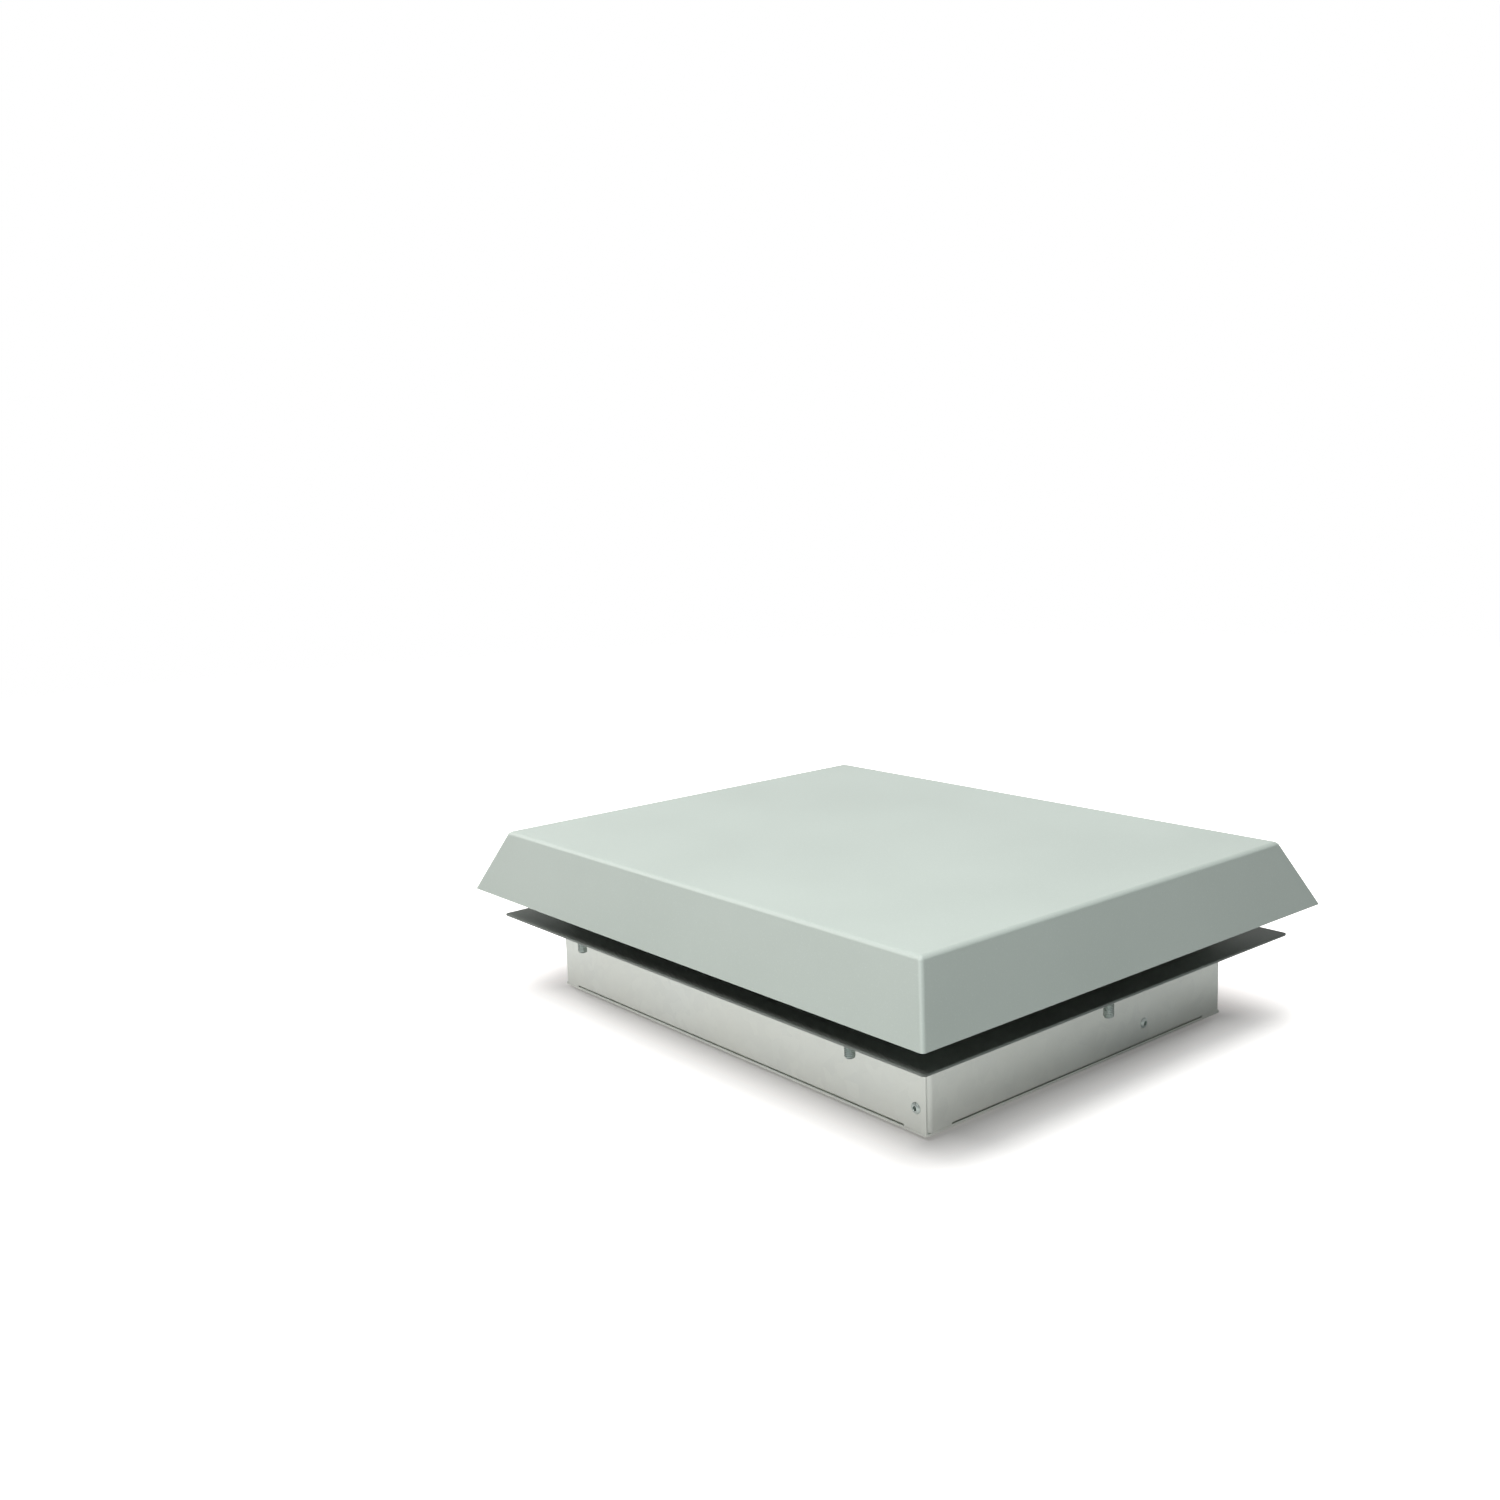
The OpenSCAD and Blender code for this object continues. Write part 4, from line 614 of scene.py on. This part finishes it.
def makeRotorRivets(s):
    # solid rivets through the can's flange and the impeller's back plate
    low, high = boxOf("impeller_rivets")
    r, h = s["head"], s["headHeight"]
    profile = [(a * r, high.z - h + b * h) for a, b in s["dome"]]
    profile += [(s["shank"], high.z - h), (s["shank"], low.z + h)]
    profile += [(a * r, low.z + h - b * h) for a, b in reversed(s["dome"])]
    bm = bmesh.new()
    addCopies(bm, turned(profile, s["steps"]), ringOf(s["count"], at(s["ring"])))
    newPiece("rotorRivets", bm, "machined_steel", "rotor", ("impeller_rivets",))


makeRotorRivets(rotorRivet)


# the nose goes by millimetres and the barrel by shares of the length, each beside its radius
contactShape = {"pitch": 10.0, "noseLine": ((0.0, 0.0), (0.385, 0.05), (0.55, 0.2), (0.85, 0.8), (1.0, 1.5)),
                "barrelLine": ((1.0, 0.42), (1.2, 0.44), (1.2, 0.6), (1.0, 0.62), (1.0, 0.8), (1.164, 0.82)),
                "tail": 1.164, "tailRound": 0.2, "tailEnd": 0.96, "bore": 0.6, "boreFrom": 0.86, "steps": 24}


def makeContacts(s):
    # round pins with a bullet nose, a collar where the housing holds them and a hollow tail for the wire
    low, high = boxOf("connector_contacts")
    length, x = high.z - low.z, (low.x + high.x) / 2
    profile = [*s["noseLine"], *((r, length * share) for r, share in s["barrelLine"])]
    profile += [(s["tail"], length - s["tailRound"]), (s["tailEnd"], length), (s["bore"], length),
                (s["bore"], length * s["boreFrom"]), (0, length * s["boreFrom"])]
    bm = bmesh.new()
    addCopies(bm, turned(profile, s["steps"]), [at(x, k * s["pitch"], low.z) for k in (-1, 0, 1)])
    newPiece("contactPins", bm, "contact_brass", "base", ("connector_contacts",))


makeContacts(contactShape)


# the can's end is (share of its radius, depth), its rim (inset, depth), its groove and foot (inset, height),
# and its lid (inset from the lid's side, height over the lid's face)
canShape = {"radius": 12.0, "length": 50.0, "steps": 64, "start": (154.8, 77.2, 34.4),
            "endLine": ((0.0, 0.0), (0.55, 0.0), (0.6, 0.4), (0.82, 0.4), (0.9, 0.0)),
            "rimLine": ((0.7, 0.15), (0.15, 0.8), (0.0, 1.8)),
            "grooveLine": ((0.0, 6.5), (0.2, 5.9), (0.9, 5.2), (0.9, 4.6), (0.2, 3.9), (0.0, 3.3)),
            "footLine": ((0.0, 0.9), (0.25, 0.2), (0.8, 0.0)), "lidRadius": 11.0, "lidHeight": 6.0,
            "lidLine": ((0.0, 1.2), (0.3, 0.5), (1.0, 0.0), (2.2, 0.0), (2.5, 0.7)),
            "tagAt": 4.5, "tagSheet": 0.8, "tagWidth": 6.3, "tagRoot": 1.0, "tagCorner": 1.2}


def makeCapacitor(s):
    # a drawn can with a rolled groove and rim, a moulded lid, and two flat tags
    r, length, lid, h = s["radius"], s["length"], s["lidRadius"], s["lidHeight"]
    reach = boxOf("capacitor")[1].y - s["start"][1]
    place = at(*s["start"], 90, "X")
    profile = [(r * a, length - b) for a, b in s["endLine"]] + [(r - a, length - b) for a, b in s["rimLine"]]
    profile += [(r - a, b) for a, b in s["grooveLine"] + s["footLine"]] + [(lid, 0)]
    profile += [(lid - a, b - h) for a, b in s["lidLine"]] + [(0, s["lidLine"][-1][1] - h)]
    bm = bmesh.new()
    addCopies(bm, turned(profile, s["steps"]), [place])
    tag = bmesh.new()
    size = Matrix.Diagonal((s["tagSheet"], s["tagWidth"], reach - h + s["tagRoot"], 1))
    bmesh.ops.create_cube(tag, size=1.0, matrix=at(0, 0, -(reach + h - s["tagRoot"]) / 2) @ size)
    tips = [e for e in tag.edges if all(v.co.z < -h for v in e.verts)
            and abs(e.verts[0].co.x - e.verts[1].co.x) > s["tagSheet"] / 2]
    breakEdges(tag, tips, s["tagCorner"], 1)
    addCopies(bm, tag, [place @ at(x) for x in (-s["tagAt"], s["tagAt"])])
    newPiece("capacitorBody", bm, "capacitor_can", "base", ("capacitor",))


makeCapacitor(canShape)
print("studs, rivets, coils, contacts and capacitor made")


# angles in degrees, lengths in metres, and focal length and "seenAt" in pixels of a square frame
camera = {"azimuth": 46.317, "elevation": 16.343, "roll": 0.841, "distance": 0.9767, "focal": 1513.61,
          "target": (0, 0, 0.0624), "seenAt": (871.602, 909.308), "frame": 1500, "sensor": 36.0,
          "clip": (0.02, 50.0)}


def placeCamera(c):
    azimuth, elevation = math.radians(c["azimuth"]), math.radians(c["elevation"])
    toCamera = Vector((math.sin(azimuth) * math.cos(elevation), -math.cos(azimuth) * math.cos(elevation),
                       math.sin(elevation)))
    place = Vector(c["target"]) + c["distance"] * toCamera
    ahead, right = -toCamera, Vector((math.cos(azimuth), math.sin(azimuth), 0))
    up = right.cross(ahead)
    middle = c["frame"] / 2
    yaw = math.atan2(c["seenAt"][0] - middle, c["focal"])  # the target is off the middle of the frame
    pitch = math.atan2(c["seenAt"][1] - middle, c["focal"])
    turn = Matrix.Rotation(yaw, 3, up)
    ahead, right = turn @ ahead, turn @ right
    turn = Matrix.Rotation(pitch, 3, right)
    ahead, up = turn @ ahead, turn @ up
    turn = Matrix.Rotation(math.radians(c["roll"]), 3, ahead)
    right, up = turn @ right, turn @ up
    lens = bpy.data.cameras.new("photoCamera")
    lens.sensor_fit = "HORIZONTAL"
    lens.sensor_width = c["sensor"]
    lens.lens = c["focal"] / c["frame"] * c["sensor"]
    lens.clip_start, lens.clip_end = c["clip"]
    viewer = bpy.data.objects.new("photoCamera", lens)
    bpy.context.collection.objects.link(viewer)
    axes = Matrix((right, up, -ahead)).transposed()
    viewer.matrix_world = Matrix.Translation(place) @ axes.to_4x4()
    bpy.context.scene.camera = viewer


placeCamera(camera)


def addAreaLight(name, place, aim, size, power, colour=(1, 1, 1)):
    lamp = bpy.data.lights.new(name, "AREA")
    lamp.shape, lamp.size, lamp.energy, lamp.color = "SQUARE", size, power, colour
    holder = bpy.data.objects.new(name, lamp)
    bpy.context.collection.objects.link(holder)
    holder.location = place
    holder.rotation_euler = (Vector(place) - Vector(aim)).to_track_quat("Z", "Y").to_euler()
    return holder


# a light stands at "place", or off its aim in the direction "from"
lights = {"aim": (0, 0, 0.06),
          "key": {"from": (0.1, -0.575, 0.805), "distance": 2.4, "size": 1.0, "power": 33.5,
                  "colour": (1.0, 0.985, 0.965)},
          "side": {"from": (-0.72, -0.34, 0.6), "distance": 2.2, "size": 1.2, "power": 10.8,
                   "colour": (1.0, 0.965, 0.95)},
          "top": {"place": (0, 0, 2.2), "aim": (0, 0, 0), "size": 1.6, "power": 27.2,
                  "colour": (0.97, 0.99, 1.0)},
          "fill": {"place": (1.15, -0.85, 2.2), "aim": (0, 0, 0.06), "size": 1.2, "power": 11.2,
                   "colour": (0.78, 0.98, 1.0)},
          "low": {"places": ((-1.7, 0.15, 0.36), (-0.2, 1.7, 0.36)), "size": 0.5, "power": 9.5}}


def makeLights(s):
    aim = Vector(s["aim"])
    for name in ("key", "side"):
        one = s[name]
        addAreaLight(name + "Light", aim + Vector(one["from"]) * one["distance"], aim, one["size"],
                     one["power"], one["colour"])
    for name in ("top", "fill"):
        one = s[name]
        addAreaLight(name + "Light", one["place"], one["aim"], one["size"], one["power"], one["colour"])
    for place in s["low"]["places"]:  # these reach in under the hood's rim
        low = addAreaLight("lowLight", place, aim, s["low"]["size"], s["low"]["power"])
        low.visible_glossy = False


worldLook = {"diffuse": (0.045, 0.045, 0.045), "glossy": (0.35, 0.35, 0.35), "seen": (1.0, 1.0, 1.0)}


def makeWorld(s):
    # white to the eye, dimmer in reflections and dimmest as light
    world = bpy.data.worlds.new("studioWorld")
    bpy.context.scene.world = world
    world.use_nodes = True
    tree = world.node_tree
    tree.nodes.clear()
    path = tree.nodes.new("ShaderNodeLightPath")
    glossy = mixColour(tree, path.outputs["Is Glossy Ray"], s["diffuse"], s["glossy"])
    seen = mixColour(tree, path.outputs["Is Camera Ray"], glossy, s["seen"])
    backdrop = tree.nodes.new("ShaderNodeBackground")
    tree.links.new(seen, backdrop.inputs["Color"])
    tree.links.new(backdrop.outputs[0], tree.nodes.new("ShaderNodeOutputWorld").inputs["Surface"])


# the floor's glow to the eye is dimmed near the footprint, a painted contact shadow; its glow in the walls'
# reflections runs from dim behind the box to bright in front, a painted reflection
floorLook = {"radius": 3.0, "segments": 96, "footprint": (0.169, 0.129, 0.0), "roughness": 0.95,
             "seen": (0.596, 0.604), "seenScale": 3.0, "seenDetail": 2.0, "seenRough": 0.5,
             "bounce": (0.16, 0.16, 0.16), "mirrored": (0.5, 0.5, 0.5), "paintedGlowColour": (1.0, 0.96, 0.94, 1.0),
             "paintedShadowReach": 0.065, "paintedShadowGlow": (0.18, 1.0), "paintedReflectionFrom": -0.05, "paintedReflectionTo": 0.18, "paintedReflectionGlow": (0.09, 0.39),
             "front": (0, -1, 0), "fadeFrom": 0.9, "fadeTo": 2.2}


def makeFloor(s):
    # the floor glows to the eye, fully away from the box and dimly at its footprint: the dimming is a painted
    # contact shadow over the real soft shadows
    bm = bmesh.new()
    bmesh.ops.create_circle(bm, cap_ends=True, segments=s["segments"], radius=s["radius"])
    mesh = bpy.data.meshes.new("studioFloor")
    bm.to_mesh(mesh)
    bm.free()
    floor = bpy.data.objects.new("studioFloor", mesh)
    bpy.context.collection.objects.link(floor)
    material, tree, shader = newMaterial("studioFloor")
    shader.inputs["Roughness"].default_value = s["roughness"]
    shader.inputs["Specular IOR Level"].default_value = 0.0
    shader.inputs["Emission Color"].default_value = s["paintedGlowColour"]
    where = tree.nodes.new("ShaderNodeTexCoord").outputs["Object"]
    path = tree.nodes.new("ShaderNodeLightPath")
    bounce = mixColour(tree, path.outputs["Is Glossy Ray"], s["bounce"], s["mirrored"])
    grain = addNoise(tree, where, s["seenScale"], s["seenDetail"], s["seenRough"])
    seen = addRange(tree, grain, 0.0, 1.0, *s["seen"])
    tree.links.new(mixColour(tree, path.outputs["Is Camera Ray"], bounce, seen), shader.inputs["Base Color"])
    # distance outside the box's footprint, which is the same on all four sides; the glow grows with it, so
    # the floor's darkening near the box is a painted contact shadow
    folded = addVectorMath(tree, "ABSOLUTE", where)
    outside = addVectorMath(tree, "SUBTRACT", folded, s["footprint"])
    reach = addVectorMath(tree, "LENGTH", addVectorMath(tree, "MAXIMUM", outside))
    paintedShadowGlow = addMath(tree, "MULTIPLY", addRange(tree, reach, 0.0, s["paintedShadowReach"], *s["paintedShadowGlow"]),
                   path.outputs["Is Camera Ray"])
    # in reflections the floor glows more in front of the box than behind it: a painted reflection that
    # lightens the box's walls
    ahead = addVectorMath(tree, "DOT_PRODUCT", where, s["front"])
    paintedReflectionGlow = addRange(tree, ahead, s["paintedReflectionFrom"], s["paintedReflectionTo"], *s["paintedReflectionGlow"])
    tree.links.new(addMath(tree, "MULTIPLY_ADD", path.outputs["Is Glossy Ray"], paintedReflectionGlow, paintedShadowGlow),
                   shader.inputs["Emission Strength"])
    # it fades out far away, and isn't there for a view from below
    above = addMath(tree, "SUBTRACT", 1.0, tree.nodes.new("ShaderNodeNewGeometry").outputs["Backfacing"])
    near = addRange(tree, addVectorMath(tree, "LENGTH", where), s["fadeFrom"], s["fadeTo"], 1.0, 0.0)
    tree.links.new(addMath(tree, "MULTIPLY", near, above), shader.inputs["Alpha"])
    mesh.materials.append(material)


makeLights(lights)
makeWorld(worldLook)
makeFloor(floorLook)
view = bpy.context.scene.view_settings
view.view_transform, view.look, view.exposure, view.gamma = "Standard", "None", 0.0, 1.0
print("studio ready")
